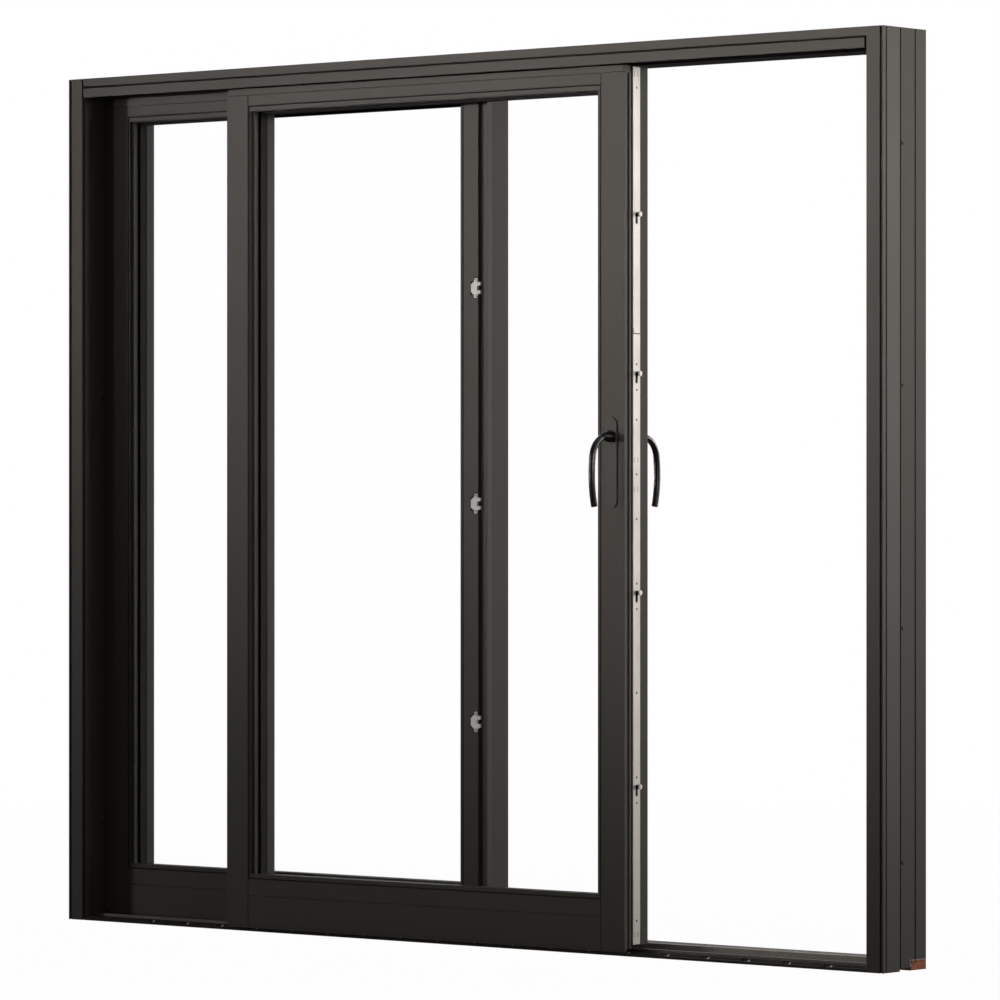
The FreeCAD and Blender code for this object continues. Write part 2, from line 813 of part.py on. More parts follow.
def ring(label, place, front, back, outer, inner):
    """A rectangular ring standing in the plane of a sash."""
    body = new_body(label, place)
    pad(body, "XZ_Plane", front, back, rectangle(*outer), rectangle(*inner))
    return body


def glazing(name, place):
    """The sealed glass unit, the bead in front and the seal behind it."""
    seat = stile_face - bead_seat_width
    bead_inner = stile_room_face - bead_edge_back
    bead = ring(name + "_glazing_bead", place, bead_seat_depth, glass_front,
                (seat, bottom_face_top - bead_seat_width,
                 sash_width - seat, top_face_bottom + bead_seat_width),
                (bead_inner, bottom_room_top - bead_edge_back,
                 sash_width - bead_inner, top_room_bottom + bead_edge_back))
    side = stile_face + bead_gap
    low = bottom_face_top + bead_gap
    high = top_face_bottom - bead_gap
    pad(bead, "XZ_Plane", as_length(bead_face_setback), bead_seat_depth,
        rectangle(side, low, sash_width - side, high),
        rectangle(side + bead_side_face, low + bead_rail_face,
                  sash_width - side - bead_side_face, high - bead_rail_face))
    glass_side = stile_room_face - glass_cover
    glass_bottom = bottom_room_top - glass_cover
    glass_top = top_room_bottom + glass_cover
    ring(name + "_glass_seal", place, glass_front + glass_thickness, rebate_back,
         (glass_side + seal_inset, glass_bottom + seal_inset,
          sash_width - glass_side - seal_inset, glass_top - seal_inset),
         (stile_room_face, bottom_room_top,
          sash_width - stile_room_face, top_room_bottom))
    glass = new_body(name + "_glass", place)
    pad(glass, "XZ_Plane", glass_front, glass_front + glass_thickness,
        rectangle(glass_side, glass_bottom, sash_width - glass_side, glass_top))


def fixed_pane():
    """The fixed pane between the left jamb and the middle of the door."""
    place = FIXED_PLACE
    top = head_underside
    stile("fixed_stile_left", place, top, from_left, plain_edge())
    stile("fixed_stile_meeting", place, top, from_right, plain_edge())
    stile_cladding("fixed_cladding_left", place, from_left,
                   [(ZERO, timber_front), (ZERO, ZERO)])
    meeting = stile_cladding("fixed_cladding_meeting", place, from_right,
                             [(interlock_width, timber_front), (interlock_width, ZERO)])
    interlock("meeting_interlock", place, from_right, as_length)
    sash_rails("fixed", place, top)
    rail_claddings("fixed", place, top)
    glazing("fixed", place)
    keepers(meeting)


def sliding_sash():
    """The sliding sash, with its rollers, its lock and its handles."""
    place = SLIDING_PLACE
    top = sash_top
    rear = stile("sash_stile_rear", place, top, from_left, rear_edge())
    leading = stile("sash_stile_lock", place, top, from_right, leading_edge())
    stile_cladding("sash_cladding_rear", place, from_left, ribbed_cladding_edge())
    leading_cladding = stile_cladding("sash_cladding_lock", place, from_right,
                                      ribbed_cladding_edge())
    interlock("sash_interlock", place, from_left, lambda depth: sash_depth - depth)
    bottom_rail = sash_rails("sash", place, top)
    rail_claddings("sash", place, top)
    glazing("sash", place)

    half_track = track_groove_width / 2
    track_slot = rectangle(track_middle - half_track, threshold_height,
                           track_middle + half_track, track_groove_top)
    rail_left = stile_room_face
    rail_right = sash_width - stile_room_face
    pocket(rear, "YZ_Plane", ZERO, rail_left, track_slot)
    pocket(leading, "YZ_Plane", rail_right, sash_width, track_slot)
    pocket(bottom_rail, "YZ_Plane", rail_left, rail_right, track_slot)
    spindle_hole = ("circle", (sash_width - handle_edge, handle_height), spindle_hole_radius)
    pocket(leading, "XZ_Plane", timber_front, sash_depth, spindle_hole)
    pocket(leading_cladding, "XZ_Plane", ZERO, timber_front, spindle_hole)
    rollers()
    guide_shoes()
    lock()
    handle()


def keepers(cladding):
    """Three hooked metal keepers let into the fixed pane's meeting stile."""
    right = sash_width - interlock_width + keeper_overhang
    left = right - keeper_width
    middle = (left + right) / 2
    half = keeper_length / 2
    mouth = keeper_mouth_height / 2
    body = new_body("keepers", FIXED_PLACE)
    for height in keeper_heights:
        pocket(cladding, "XZ_Plane", ZERO, keeper_depth, rectangle(
            left - keeper_margin, height - half - keeper_margin,
            sash_width - interlock_width, height + half + keeper_margin))
        lug = (middle, height - keeper_lug_reach, height + keeper_lug_reach, keeper_lug_radius)
        pocket(cladding, "XZ_Plane", ZERO, keeper_depth, (
            "stadium", middle, lug[1] - keeper_margin, lug[2] + keeper_margin,
            keeper_lug_radius + keeper_margin))
        pad(body, "XZ_Plane", ZERO, keeper_depth, ("stadium", *lug))
        pad(body, "XZ_Plane", -keeper_proud, keeper_depth, [
            (left + keeper_notch, height - half),
            (right, height - half),
            (right, height - mouth),
            (right - keeper_mouth_depth, height - mouth),
            (right - keeper_mouth_depth, height + mouth),
            (right, height + mouth),
            (right, height + half),
            (left + keeper_notch, height + half),
            (left + keeper_notch, height + half - keeper_notch),
            (left, height + half - keeper_notch),
            (left, height - half + keeper_notch),
            (left + keeper_notch, height - half + keeper_notch),
        ])
        pocket(body, "XZ_Plane", ZERO, keeper_depth,
               ("circle", (middle, height - keeper_hole_place), keeper_hole_radius),
               ("circle", (middle, height + keeper_hole_place), keeper_hole_radius))


def rollers():
    """Two roller carriages under the sliding sash, standing on the rail."""
    half = wheel_thickness / 2
    half_track = track_groove_width / 2
    axle_height = rail_top + wheel_gap + wheel_radius
    body = new_body("roller_carriages", SLIDING_PLACE)
    for start in (carriage_inset, sash_width - carriage_inset - carriage_length):
        pad(body, "XZ_Plane", track_middle - half_track, track_middle + half_track,
            rectangle(start, carriage_bottom, start + carriage_length, track_groove_top))
        for share in (0.25, 0.75):
            pad(body, "XZ_Plane", track_middle - half, track_middle + half,
                ("circle", (start + carriage_length * share, axle_height), wheel_radius))


def guide_shoes():
    """Two shoes on top of the sliding sash that run in the head's channel."""
    body = new_body("guide_shoes", SLIDING_PLACE)
    half = shoe_thickness / 2
    shoe_top = frame_height - head_band - guide_web - shoe_clearance
    for start in (shoe_inset, sash_width - shoe_inset - shoe_length):
        pad(body, "YZ_Plane", start, start + shoe_length, rectangle(
            track_middle - half, sash_top, track_middle + half, shoe_top))


def lock():
    """The strip in the leading edge and the rod with its mushroom cams."""
    edge = sash_width
    middle = strip_from + strip_width / 2
    slot_radius = cam_neck_radius + slot_clearance
    strip = new_body("lock_strip", SLIDING_PLACE)
    pad(strip, "YZ_Plane", edge - strip_thickness, edge,
        rectangle(strip_from, threshold_height + strip_end_gap,
                  strip_from + strip_width, sash_top - strip_end_gap))
    pocket(strip, "YZ_Plane", edge - strip_thickness, edge,
           *[("stadium", middle, height - rod_travel - slot_radius, height + slot_radius,
              slot_radius) for height in cam_heights])

    rod_face = edge - strip_thickness - rod_clearance
    rod = new_body("lock_rod", SLIDING_PLACE)
    half_rod = rod_width / 2
    pad(rod, "YZ_Plane", rod_face - rod_thickness, rod_face,
        rectangle(middle - half_rod, cam_heights[0] - rod_end,
                  middle + half_rod, cam_heights[-1] + rod_end))
    head_face = edge + cam_proud
    for height in cam_heights:
        pad(rod, "YZ_Plane", rod_face, head_face - cam_head_thickness,
            ("circle", (middle, height), cam_neck_radius))
        pad(rod, "YZ_Plane", head_face - cam_head_thickness, head_face,
            ("circle", (middle, height), cam_head_radius))


def handle_plate(side, near, far):
    """The plate of one handle: a flat bar with round ends."""
    body = new_body("handle_plate_" + side, SLIDING_PLACE)
    middle = sash_width - handle_edge
    pad(body, "XZ_Plane", near, far,
        ("stadium", middle, handle_height - plate_below, handle_height + plate_above, plate_width / 2))
    pocket(body, "XZ_Plane", near, far,
           ("circle", (middle, handle_height), spindle_hole_radius))


def lever_path(body, start, reach, outward):
    """The bow's centre line: a short neck, a bend and a long shallow bow."""
    across = sash_width - handle_edge
    bend_level = handle_height - lever_bend
    bow_level = handle_height - lever_belly
    bow_middle = reach - outward * lever_bow
    path = new_sketch(body, "YZ_Plane", across, body.Label + "_path")

    # The bend touches the bow from inside, which fixes where it starts.
    apart = lever_bow.value - lever_bend.value
    rise = bend_level.value - bow_level.value
    run = math.sqrt(apart ** 2 - rise ** 2)
    bend_middle = bow_middle.value + outward * run
    touch = math.atan2(rise, run)
    tip = math.asin((lever_drop.value - lever_belly.value) / lever_bow.value)

    def arc(depth, height, radius, low_angle, high_angle):
        if outward < 0:
            low_angle, high_angle = math.pi - high_angle, math.pi - low_angle
        circle = Part.Circle(FreeCAD.Vector(depth, height, 0), FreeCAD.Vector(0, 0, 1), radius)
        return path.addGeometry(Part.ArcOfCircle(circle, low_angle, high_angle))

    neck = path.addGeometry(Part.LineSegment(
        FreeCAD.Vector(start.value, handle_height.value, 0),
        FreeCAD.Vector(bend_middle, handle_height.value, 0)))
    bend = arc(bend_middle, bend_level.value, lever_bend.value, touch, math.pi / 2)
    bow = arc(bow_middle.value, bow_level.value, lever_bow.value, -tip, touch)
    upper, lower = (2, 1) if outward > 0 else (1, 2)
    path.addConstraint(Sketcher.Constraint("Tangent", neck, 2, bend, upper))
    path.addConstraint(Sketcher.Constraint("Tangent", bend, lower, bow, upper))
    path.addConstraint(Sketcher.Constraint("Horizontal", neck))
    bind(path, "DistanceX", -1, 1, neck, 1, start)
    bind(path, "DistanceY", -1, 1, neck, 1, handle_height)
    bind(path, "Radius", bend, lever_bend)
    bind(path, "Radius", bow, lever_bow)
    bind(path, "DistanceX", -1, 1, bow, 3, bow_middle)
    bind(path, "DistanceY", -1, 1, bow, 3, bow_level)
    bind(path, "DistanceY", -1, 1, bow, lower, handle_height - lever_drop)
    return path


def lever_neck(body, start, outward):
    """The neck turned about the spindle: a rim that tapers into the bar."""
    across = sash_width - handle_edge
    outline = new_sketch(body, "YZ_Plane", across, body.Label + "_neck_outline")
    draw_outline(outline, [
        (start, handle_height),
        (start, handle_height + neck_radius),
        (start + outward * neck_rim, handle_height + neck_radius),
        (start + outward * neck_length, handle_height + lever_radius),
        (start + outward * neck_length, handle_height),
    ])
    axis = outline.addGeometry(Part.LineSegment(
        FreeCAD.Vector(start.value, handle_height.value, 0),
        FreeCAD.Vector(start.value + outward * neck_length.value, handle_height.value, 0)), True)
    outline.addConstraint(Sketcher.Constraint("Coincident", axis, 1, 0, 1))
    outline.addConstraint(Sketcher.Constraint("Coincident", axis, 2, 4, 1))
    neck = body.newObject("PartDesign::Revolution", body.Label + "_neck")
    neck.Profile = outline
    neck.ReferenceAxis = (outline, ["Axis0"])
    neck.Angle = 360


def handle_lever(side, start, reach, outward):
    """A bow lever: a round bar bent along its path, with a stouter neck."""
    body = new_body("handle_lever_" + side, SLIDING_PLACE)
    path = lever_path(body, start, reach, outward)
    bar = new_sketch(body, "XZ_Plane", start, body.Label + "_bar")
    draw_circle(bar, (sash_width - handle_edge, handle_height), lever_radius)
    bow = body.newObject("PartDesign::AdditivePipe", body.Label + "_bow")
    bow.Profile = bar
    bow.Spine = (path, ["Edge1", "Edge2", "Edge3"])
    lever_neck(body, start, outward)


def handle():
    """Levers on both faces of the sash, joined by a square spindle."""
    handle_plate("outside", -plate_thickness, ZERO)
    handle_plate("inside", sash_depth, sash_depth + plate_thickness)
    outside = -plate_thickness - spindle_gap
    inside = sash_depth + plate_thickness + spindle_gap
    handle_lever("outside", outside, -lever_reach_outside, -1)
    handle_lever("inside", inside, sash_depth + lever_reach_inside, 1)
    middle = sash_width - handle_edge
    half = spindle_side / 2
    spindle = new_body("handle_spindle", SLIDING_PLACE)
    pad(spindle, "XZ_Plane", outside, inside, rectangle(
        middle - half, handle_height - half, middle + half, handle_height + half))


jamb("left")
jamb("right")
head()
threshold()
fixed_pane()
sliding_sash()

document.recompute()
for item in document.Objects:
    if "Invalid" in item.State or "Error" in item.State:
        raise RuntimeError("%s failed: %s" % (item.Label, item.State))
for body in bodies:
    if body.Shape.isNull() or not body.Shape.isValid() or not body.Shape.Solids:
        raise RuntimeError("%s has no sound shape" % body.Label)

os.makedirs("parts", exist_ok=True)
for body in bodies:
    body.Shape.exportStep(os.path.join("parts", body.Label + ".step"))
    box = body.Shape.BoundBox
    print("%-22s %d solid(s) X %.1f %.1f Y %.1f %.1f Z %.1f %.1f" % (
        body.Label, len(body.Shape.Solids), box.XMin, box.XMax,
        box.YMin, box.YMax, box.ZMin, box.ZMax))
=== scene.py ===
"""The looks of a sliding patio door: an aluminium-clad timber frame with one fixed pane and one sash that slides."""

import math

import bmesh
import bpy
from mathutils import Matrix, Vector


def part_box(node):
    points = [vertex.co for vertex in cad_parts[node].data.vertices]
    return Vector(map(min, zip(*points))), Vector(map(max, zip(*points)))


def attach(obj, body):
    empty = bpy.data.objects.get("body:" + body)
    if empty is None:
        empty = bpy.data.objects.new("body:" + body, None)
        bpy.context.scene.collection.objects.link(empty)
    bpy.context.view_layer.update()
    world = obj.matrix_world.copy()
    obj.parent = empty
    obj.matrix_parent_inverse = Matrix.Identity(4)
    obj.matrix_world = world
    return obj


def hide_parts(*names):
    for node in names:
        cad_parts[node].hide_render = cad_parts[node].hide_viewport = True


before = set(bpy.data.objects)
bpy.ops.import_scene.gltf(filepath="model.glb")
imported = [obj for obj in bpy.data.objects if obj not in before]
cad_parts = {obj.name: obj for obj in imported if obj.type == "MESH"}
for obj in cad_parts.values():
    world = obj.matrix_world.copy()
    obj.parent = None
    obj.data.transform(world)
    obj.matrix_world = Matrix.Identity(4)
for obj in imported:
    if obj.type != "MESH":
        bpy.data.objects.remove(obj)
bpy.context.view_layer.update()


# The camera
# A long lens stands level in front of the right-hand jamb and looks across the door to its fixed end.

LENS = 198.97
CAMERA_PLACE = (8.3647, -9.995, 1.0436)
CAMERA_TURN = math.radians(39.65)

camera_data = bpy.data.cameras.new("camera")
camera_data.lens = LENS
camera_data.sensor_width = 36.0
camera = bpy.data.objects.new("camera", camera_data)
camera.location = CAMERA_PLACE
camera.rotation_euler = (math.radians(90), 0, CAMERA_TURN)
bpy.context.scene.collection.objects.link(camera)
bpy.context.scene.camera = camera


# The cladding of the frame
# Extruded aluminium channels that clip over the timber on the weather side, cut square at the corners and
# powder coated in a dark bronze grey. The coat has a fine orange peel. Its sharp edges are painted paler:
# partly for the thinner coat there, partly as a painted highlight.

DARK_BRONZE = (67, 62, 56)


def tone(red, green, blue):
    """A colour as a paint card gives it, from 0 to 255, turned into the shader's linear values."""
    steps = [value / 255 for value in (red, green, blue)]
    return tuple(s / 12.92 if s <= 0.04045 else ((s + 0.055) / 1.055) ** 2.4 for s in steps) + (1.0,)


def new_group(name, inputs, outputs):
    """An empty shader node group with named sockets, and its two end nodes."""
    group = bpy.data.node_groups.new(name, "ShaderNodeTree")
    for label, kind, value in inputs:
        socket = group.interface.new_socket(label, in_out="INPUT", socket_type="NodeSocket" + kind)
        if value is not None:
            socket.default_value = value
    for label, kind in outputs:
        group.interface.new_socket(label, in_out="OUTPUT", socket_type="NodeSocket" + kind)
    start = group.nodes.new("NodeGroupInput")
    end = group.nodes.new("NodeGroupOutput")
    return group, start, end


def add_node(tree, kind, settings=None, values=None):
    """A node with its settings and the values of its unlinked sockets."""
    node = tree.nodes.new(kind)
    for name, value in (settings or {}).items():
        setattr(node, name, value)
    for name, value in (values or {}).items():
        node.inputs[name].default_value = value
    return node


def powder_coat_group():
    """Colour, roughness and normal of a baked powder coat: faint clouds, orange peel and edges painted paler, partly
    as thinner coat and partly as a painted highlight.
    """
    group, start, end = new_group(
        "powder coat",
        [("Place", "Vector", None), ("Coat", "Color", None), ("Thin Edge And Highlight", "Color", None),
         ("Edge Radius", "Float", 0.0009), ("Peel Depth", "Float", 0.05), ("Roughness", "Float", 0.42)],
        [("Color", "Color"), ("Roughness", "Float"), ("Normal", "Vector")])
    link = group.links.new
    cloud = add_node(group, "ShaderNodeTexNoise", values={"Scale": 2.6, "Detail": 3.0, "Roughness": 0.55})
    link(start.outputs["Place"], cloud.inputs["Vector"])
    fleck = add_node(group, "ShaderNodeTexNoise", values={"Scale": 1400.0, "Detail": 1.0})
    link(start.outputs["Place"], fleck.inputs["Vector"])
    cloud_light = add_node(group, "ShaderNodeMapRange", values={"To Min": 0.93, "To Max": 1.07})
    link(cloud.outputs["Fac"], cloud_light.inputs["Value"])
    fleck_light = add_node(group, "ShaderNodeMapRange", values={"To Min": 0.94, "To Max": 1.06})
    link(fleck.outputs["Fac"], fleck_light.inputs["Value"])
    light = add_node(group, "ShaderNodeMath", {"operation": "MULTIPLY"})
    link(cloud_light.outputs["Result"], light.inputs[0])
    link(fleck_light.outputs["Result"], light.inputs[1])
    coat = add_node(group, "ShaderNodeVectorMath", {"operation": "SCALE"})
    link(start.outputs["Coat"], coat.inputs[0])
    link(light.outputs["Value"], coat.inputs["Scale"])
    soft = add_node(group, "ShaderNodeBevel", {"samples": 4})
    link(start.outputs["Edge Radius"], soft.inputs["Radius"])
    face = add_node(group, "ShaderNodeNewGeometry")
    turn = add_node(group, "ShaderNodeVectorMath", {"operation": "DOT_PRODUCT"})
    link(soft.outputs["Normal"], turn.inputs[0])
    link(face.outputs["Normal"], turn.inputs[1])
    # Painted highlight: where the bevel's normal turns from the face, the colour moves to the paler edge colour, which
    # also stands for the thinner coat on edges.
    edge = add_node(group, "ShaderNodeMapRange", values={"From Min": 0.995, "From Max": 0.75, "To Min": 0.0, "To Max": 0.55})
    link(turn.outputs["Value"], edge.inputs["Value"])
    colour = add_node(group, "ShaderNodeMix", {"data_type": "RGBA"})
    link(edge.outputs["Result"], colour.inputs["Factor"])
    link(coat.outputs["Vector"], colour.inputs[6])
    link(start.outputs["Thin Edge And Highlight"], colour.inputs[7])
    link(colour.outputs[2], end.inputs["Color"])
    rub = add_node(group, "ShaderNodeMapRange", values={"To Min": -0.06, "To Max": 0.06})
    link(cloud.outputs["Fac"], rub.inputs["Value"])
    rough = add_node(group, "ShaderNodeMath", {"operation": "ADD"})
    link(start.outputs["Roughness"], rough.inputs[0])
    link(rub.outputs["Result"], rough.inputs[1])
    link(rough.outputs["Value"], end.inputs["Roughness"])
    peel = add_node(group, "ShaderNodeTexNoise", values={"Scale": 620.0, "Detail": 2.0})
    link(start.outputs["Place"], peel.inputs["Vector"])
    bump = add_node(group, "ShaderNodeBump", values={"Distance": 0.0004})
    link(start.outputs["Peel Depth"], bump.inputs["Strength"])
    link(peel.outputs["Fac"], bump.inputs["Height"])
    link(soft.outputs["Normal"], bump.inputs["Normal"])
    link(bump.outputs["Normal"], end.inputs["Normal"])
    return group


POWDER_COAT = powder_coat_group()


def new_material(name):
    """A material with its Principled shader and its object coordinates."""
    material = bpy.data.materials.new(name)
    material.use_nodes = True
    tree = material.node_tree
    shader = tree.nodes["Principled BSDF"]
    place = tree.nodes.new("ShaderNodeTexCoord")
    return material, tree, shader, place.outputs["Object"]


def use_group(tree, group, place, shader, values):
    """The group's node in a material, fed with the place and its values, and wired to the shader."""
    node = tree.nodes.new("ShaderNodeGroup")
    node.node_tree = group
    tree.links.new(place, node.inputs["Place"])
    for name, value in values.items():
        node.inputs[name].default_value = value
    tree.links.new(node.outputs["Color"], shader.inputs["Base Color"])
    tree.links.new(node.outputs["Roughness"], shader.inputs["Roughness"])
    tree.links.new(node.outputs["Normal"], shader.inputs["Normal"])
    return node


def coated_aluminium(name, coat, gloss):
    """Aluminium under the powder coat, which is smoother or duller by its gloss."""
    material, tree, shader, place = new_material(name)
    shader.inputs["Specular IOR Level"].default_value = gloss
    # The paler edge colour is a painted highlight on the coat's edges, and partly its thinner coat there.
    use_group(tree, POWDER_COAT, place, shader,
              {"Coat": tone(*coat), "Thin Edge And Highlight": tone(92, 88, 83)})
    return material


COATED_ALUMINIUM = coated_aluminium("powder coated aluminium", DARK_BRONZE, 0.16)


def dress(material, *nodes):
    """Gives CAD nodes their material."""
    for name in nodes:
        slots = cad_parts[name].material_slots
        if not slots:
            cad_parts[name].data.materials.append(None)
        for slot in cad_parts[name].material_slots:
            slot.material = material


dress(COATED_ALUMINIUM, "jamb_cladding_left", "jamb_cladding_right", "head_cladding", "head_track_cover")


# The timber of the frame
# Two jambs and a head of laminated softwood behind the cladding, primed and sprayed in the cladding's colour.
# The boards' grain still shows through the paint as a fine relief along their length.


def painted_grain_group():
    """Colour, roughness and normal of sprayed timber whose grain runs along Z of the place."""
    group, start, end = new_group(
        "painted grain",
        [("Place", "Vector", None), ("Paint", "Color", None), ("Grain Depth", "Float", 0.25),
         ("Roughness", "Float", 0.5)],
        [("Color", "Color"), ("Roughness", "Float"), ("Normal", "Vector")])
    link = group.links.new
    stretch = add_node(group, "ShaderNodeMapping", {"vector_type": "POINT"}, {"Scale": (1.0, 1.0, 0.02)})
    link(start.outputs["Place"], stretch.inputs["Vector"])
    fibre = add_node(group, "ShaderNodeTexNoise", values={"Scale": 340.0, "Detail": 4.0, "Roughness": 0.65})
    link(stretch.outputs["Vector"], fibre.inputs["Vector"])
    band = add_node(group, "ShaderNodeTexNoise", values={"Scale": 30.0, "Detail": 2.0, "Distortion": 0.4})
    link(stretch.outputs["Vector"], band.inputs["Vector"])
    fibre_light = add_node(group, "ShaderNodeMapRange", values={"To Min": 0.92, "To Max": 1.08})
    link(fibre.outputs["Fac"], fibre_light.inputs["Value"])
    band_light = add_node(group, "ShaderNodeMapRange", values={"To Min": 0.93, "To Max": 1.07})
    link(band.outputs["Fac"], band_light.inputs["Value"])
    light = add_node(group, "ShaderNodeMath", {"operation": "MULTIPLY"})
    link(fibre_light.outputs["Result"], light.inputs[0])
    link(band_light.outputs["Result"], light.inputs[1])
    paint = add_node(group, "ShaderNodeVectorMath", {"operation": "SCALE"})
    link(start.outputs["Paint"], paint.inputs[0])
    link(light.outputs["Value"], paint.inputs["Scale"])
    link(paint.outputs["Vector"], end.inputs["Color"])
    rub = add_node(group, "ShaderNodeMapRange", values={"To Min": -0.07, "To Max": 0.07})
    link(fibre.outputs["Fac"], rub.inputs["Value"])
    rough = add_node(group, "ShaderNodeMath", {"operation": "ADD"})
    link(start.outputs["Roughness"], rough.inputs[0])
    link(rub.outputs["Result"], rough.inputs[1])
    link(rough.outputs["Value"], end.inputs["Roughness"])
    soft = add_node(group, "ShaderNodeBevel", {"samples": 4}, {"Radius": 0.0015})
    bump = add_node(group, "ShaderNodeBump", values={"Distance": 0.0003})
    link(start.outputs["Grain Depth"], bump.inputs["Strength"])
    link(fibre.outputs["Fac"], bump.inputs["Height"])
    link(soft.outputs["Normal"], bump.inputs["Normal"])
    link(bump.outputs["Normal"], end.inputs["Normal"])
    return group


PAINTED_GRAIN = painted_grain_group()


def painted_timber(name, turn):
    """Painted timber whose grain follows the board: turn lays the board's length on Z."""
    material, tree, shader, place = new_material(name)
    shader.inputs["Specular IOR Level"].default_value = 0.16
    lay = add_node(tree, "ShaderNodeMapping", values={"Rotation": turn})
    tree.links.new(place, lay.inputs["Vector"])
    use_group(tree, PAINTED_GRAIN, lay.outputs["Vector"], shader, {"Paint": tone(66, 61, 55)})
    return material


UPRIGHT_TIMBER = painted_timber("painted timber upright", (0.0, 0.0, 0.0))
LEVEL_TIMBER = painted_timber("painted timber level", (0.0, math.radians(90), 0.0))

dress(UPRIGHT_TIMBER, "jamb_left", "jamb_right")
dress(LEVEL_TIMBER, "head")


# The seals of the frame
# Black rubber pressed into the grooves of the cladding and foam tape in the joint between cladding and timber,
# so that no daylight shows between them. They are cut square at the ends.


def seal_rubber():
    """Black rubber with a matt skin and a faint bloom."""
    material, tree, shader, place = new_material("black seal rubber")
    shader.inputs["Specular IOR Level"].default_value = 0.2
    bloom = add_node(tree, "ShaderNodeTexNoise", values={"Scale": 55.0, "Detail": 4.0})
    tree.links.new(place, bloom.inputs["Vector"])
    skin = add_node(tree, "ShaderNodeValToRGB")
    skin.color_ramp.elements[0].color = tone(14, 14, 13)
    skin.color_ramp.elements[1].color = tone(30, 30, 29)
    tree.links.new(bloom.outputs["Fac"], skin.inputs["Fac"])
    tree.links.new(skin.outputs["Color"], shader.inputs["Base Color"])
    rough = add_node(tree, "ShaderNodeMapRange", values={"To Min": 0.6, "To Max": 0.85})
    tree.links.new(bloom.outputs["Fac"], rough.inputs["Value"])
    tree.links.new(rough.outputs["Result"], shader.inputs["Roughness"])
    bump = add_node(tree, "ShaderNodeBump", values={"Strength": 0.1, "Distance": 0.0003})
    tree.links.new(bloom.outputs["Fac"], bump.inputs["Height"])
    tree.links.new(bump.outputs["Normal"], shader.inputs["Normal"])
    return material


SEAL_RUBBER = seal_rubber()


def add_strip(form, outline, axis, start, end):
    """A closed strip in the mesh being made: its outline is drawn across the axis, from start to end along it."""
    order = {"x": (2, 0, 1), "y": (0, 2, 1), "z": (0, 1, 2)}[axis]
    rings = []
    for along in (start, end):
        ring = []
        for first, second in outline:
            numbers = (first, second, along)
            ring.append(form.verts.new([numbers[place] for place in order]))
        rings.append(ring)
    count = len(outline)
    for number in range(count):
        following = (number + 1) % count
        form.faces.new((rings[0][number], rings[0][following], rings[1][following], rings[1][number]))
    form.faces.new(rings[0])
    form.faces.new(list(reversed(rings[1])))


def finish_piece(name, form, material, body):
    """Turns the mesh being made into a piece with its material, and lets it ride on its body."""
    bmesh.ops.recalc_face_normals(form, faces=form.faces)
    mesh = bpy.data.meshes.new(name)
    form.to_mesh(mesh)
    form.free()
    mesh.materials.append(material)
    piece = bpy.data.objects.new(name, mesh)
    bpy.context.scene.collection.objects.link(piece)
    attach(piece, body)
    return piece


def bulb(low, high, depth_low, depth_high):
    """The outline of a pressed-in strip with softened corners."""
    soft = min(high - low, depth_high - depth_low) * 0.3
    return [(low + soft, depth_low), (high - soft, depth_low), (high, depth_low + soft), (high, depth_high - soft),
            (high - soft, depth_high), (low + soft, depth_high), (low, depth_high - soft), (low, depth_low + soft)]


frame_seals = bmesh.new()
add_strip(frame_seals, bulb(-0.0800, -0.0725, 2.0658, 2.0697), "x", -1.1945, 1.1943)
add_strip(frame_seals, bulb(-0.0790, -0.0700, 2.0440, 2.0660), "x", 1.1949, 1.1996)
add_strip(frame_seals, bulb(-1.1999, -1.1952, -0.0774, -0.0748), "z", 0.014, 2.089)
for edge in (-1, 1):
    add_strip(frame_seals, bulb(*sorted((edge * 1.2427, edge * 1.2445)), -0.0718, -0.0672), "z", 0.002, 2.088)
    add_strip(frame_seals, bulb(*sorted((edge * 1.2392, edge * 1.2438)), -0.0178, -0.0142), "z", 0.026, 2.088)
finish_piece("frame_seals", frame_seals, SEAL_RUBBER, "frame")


# The brush under the head
# A pile of black bristles clipped behind the track cover. It wipes the sliding sash's top edge and hides the track.

BRUSH_LENGTH = 2.388
BRUSH_FOOT = 2.0505


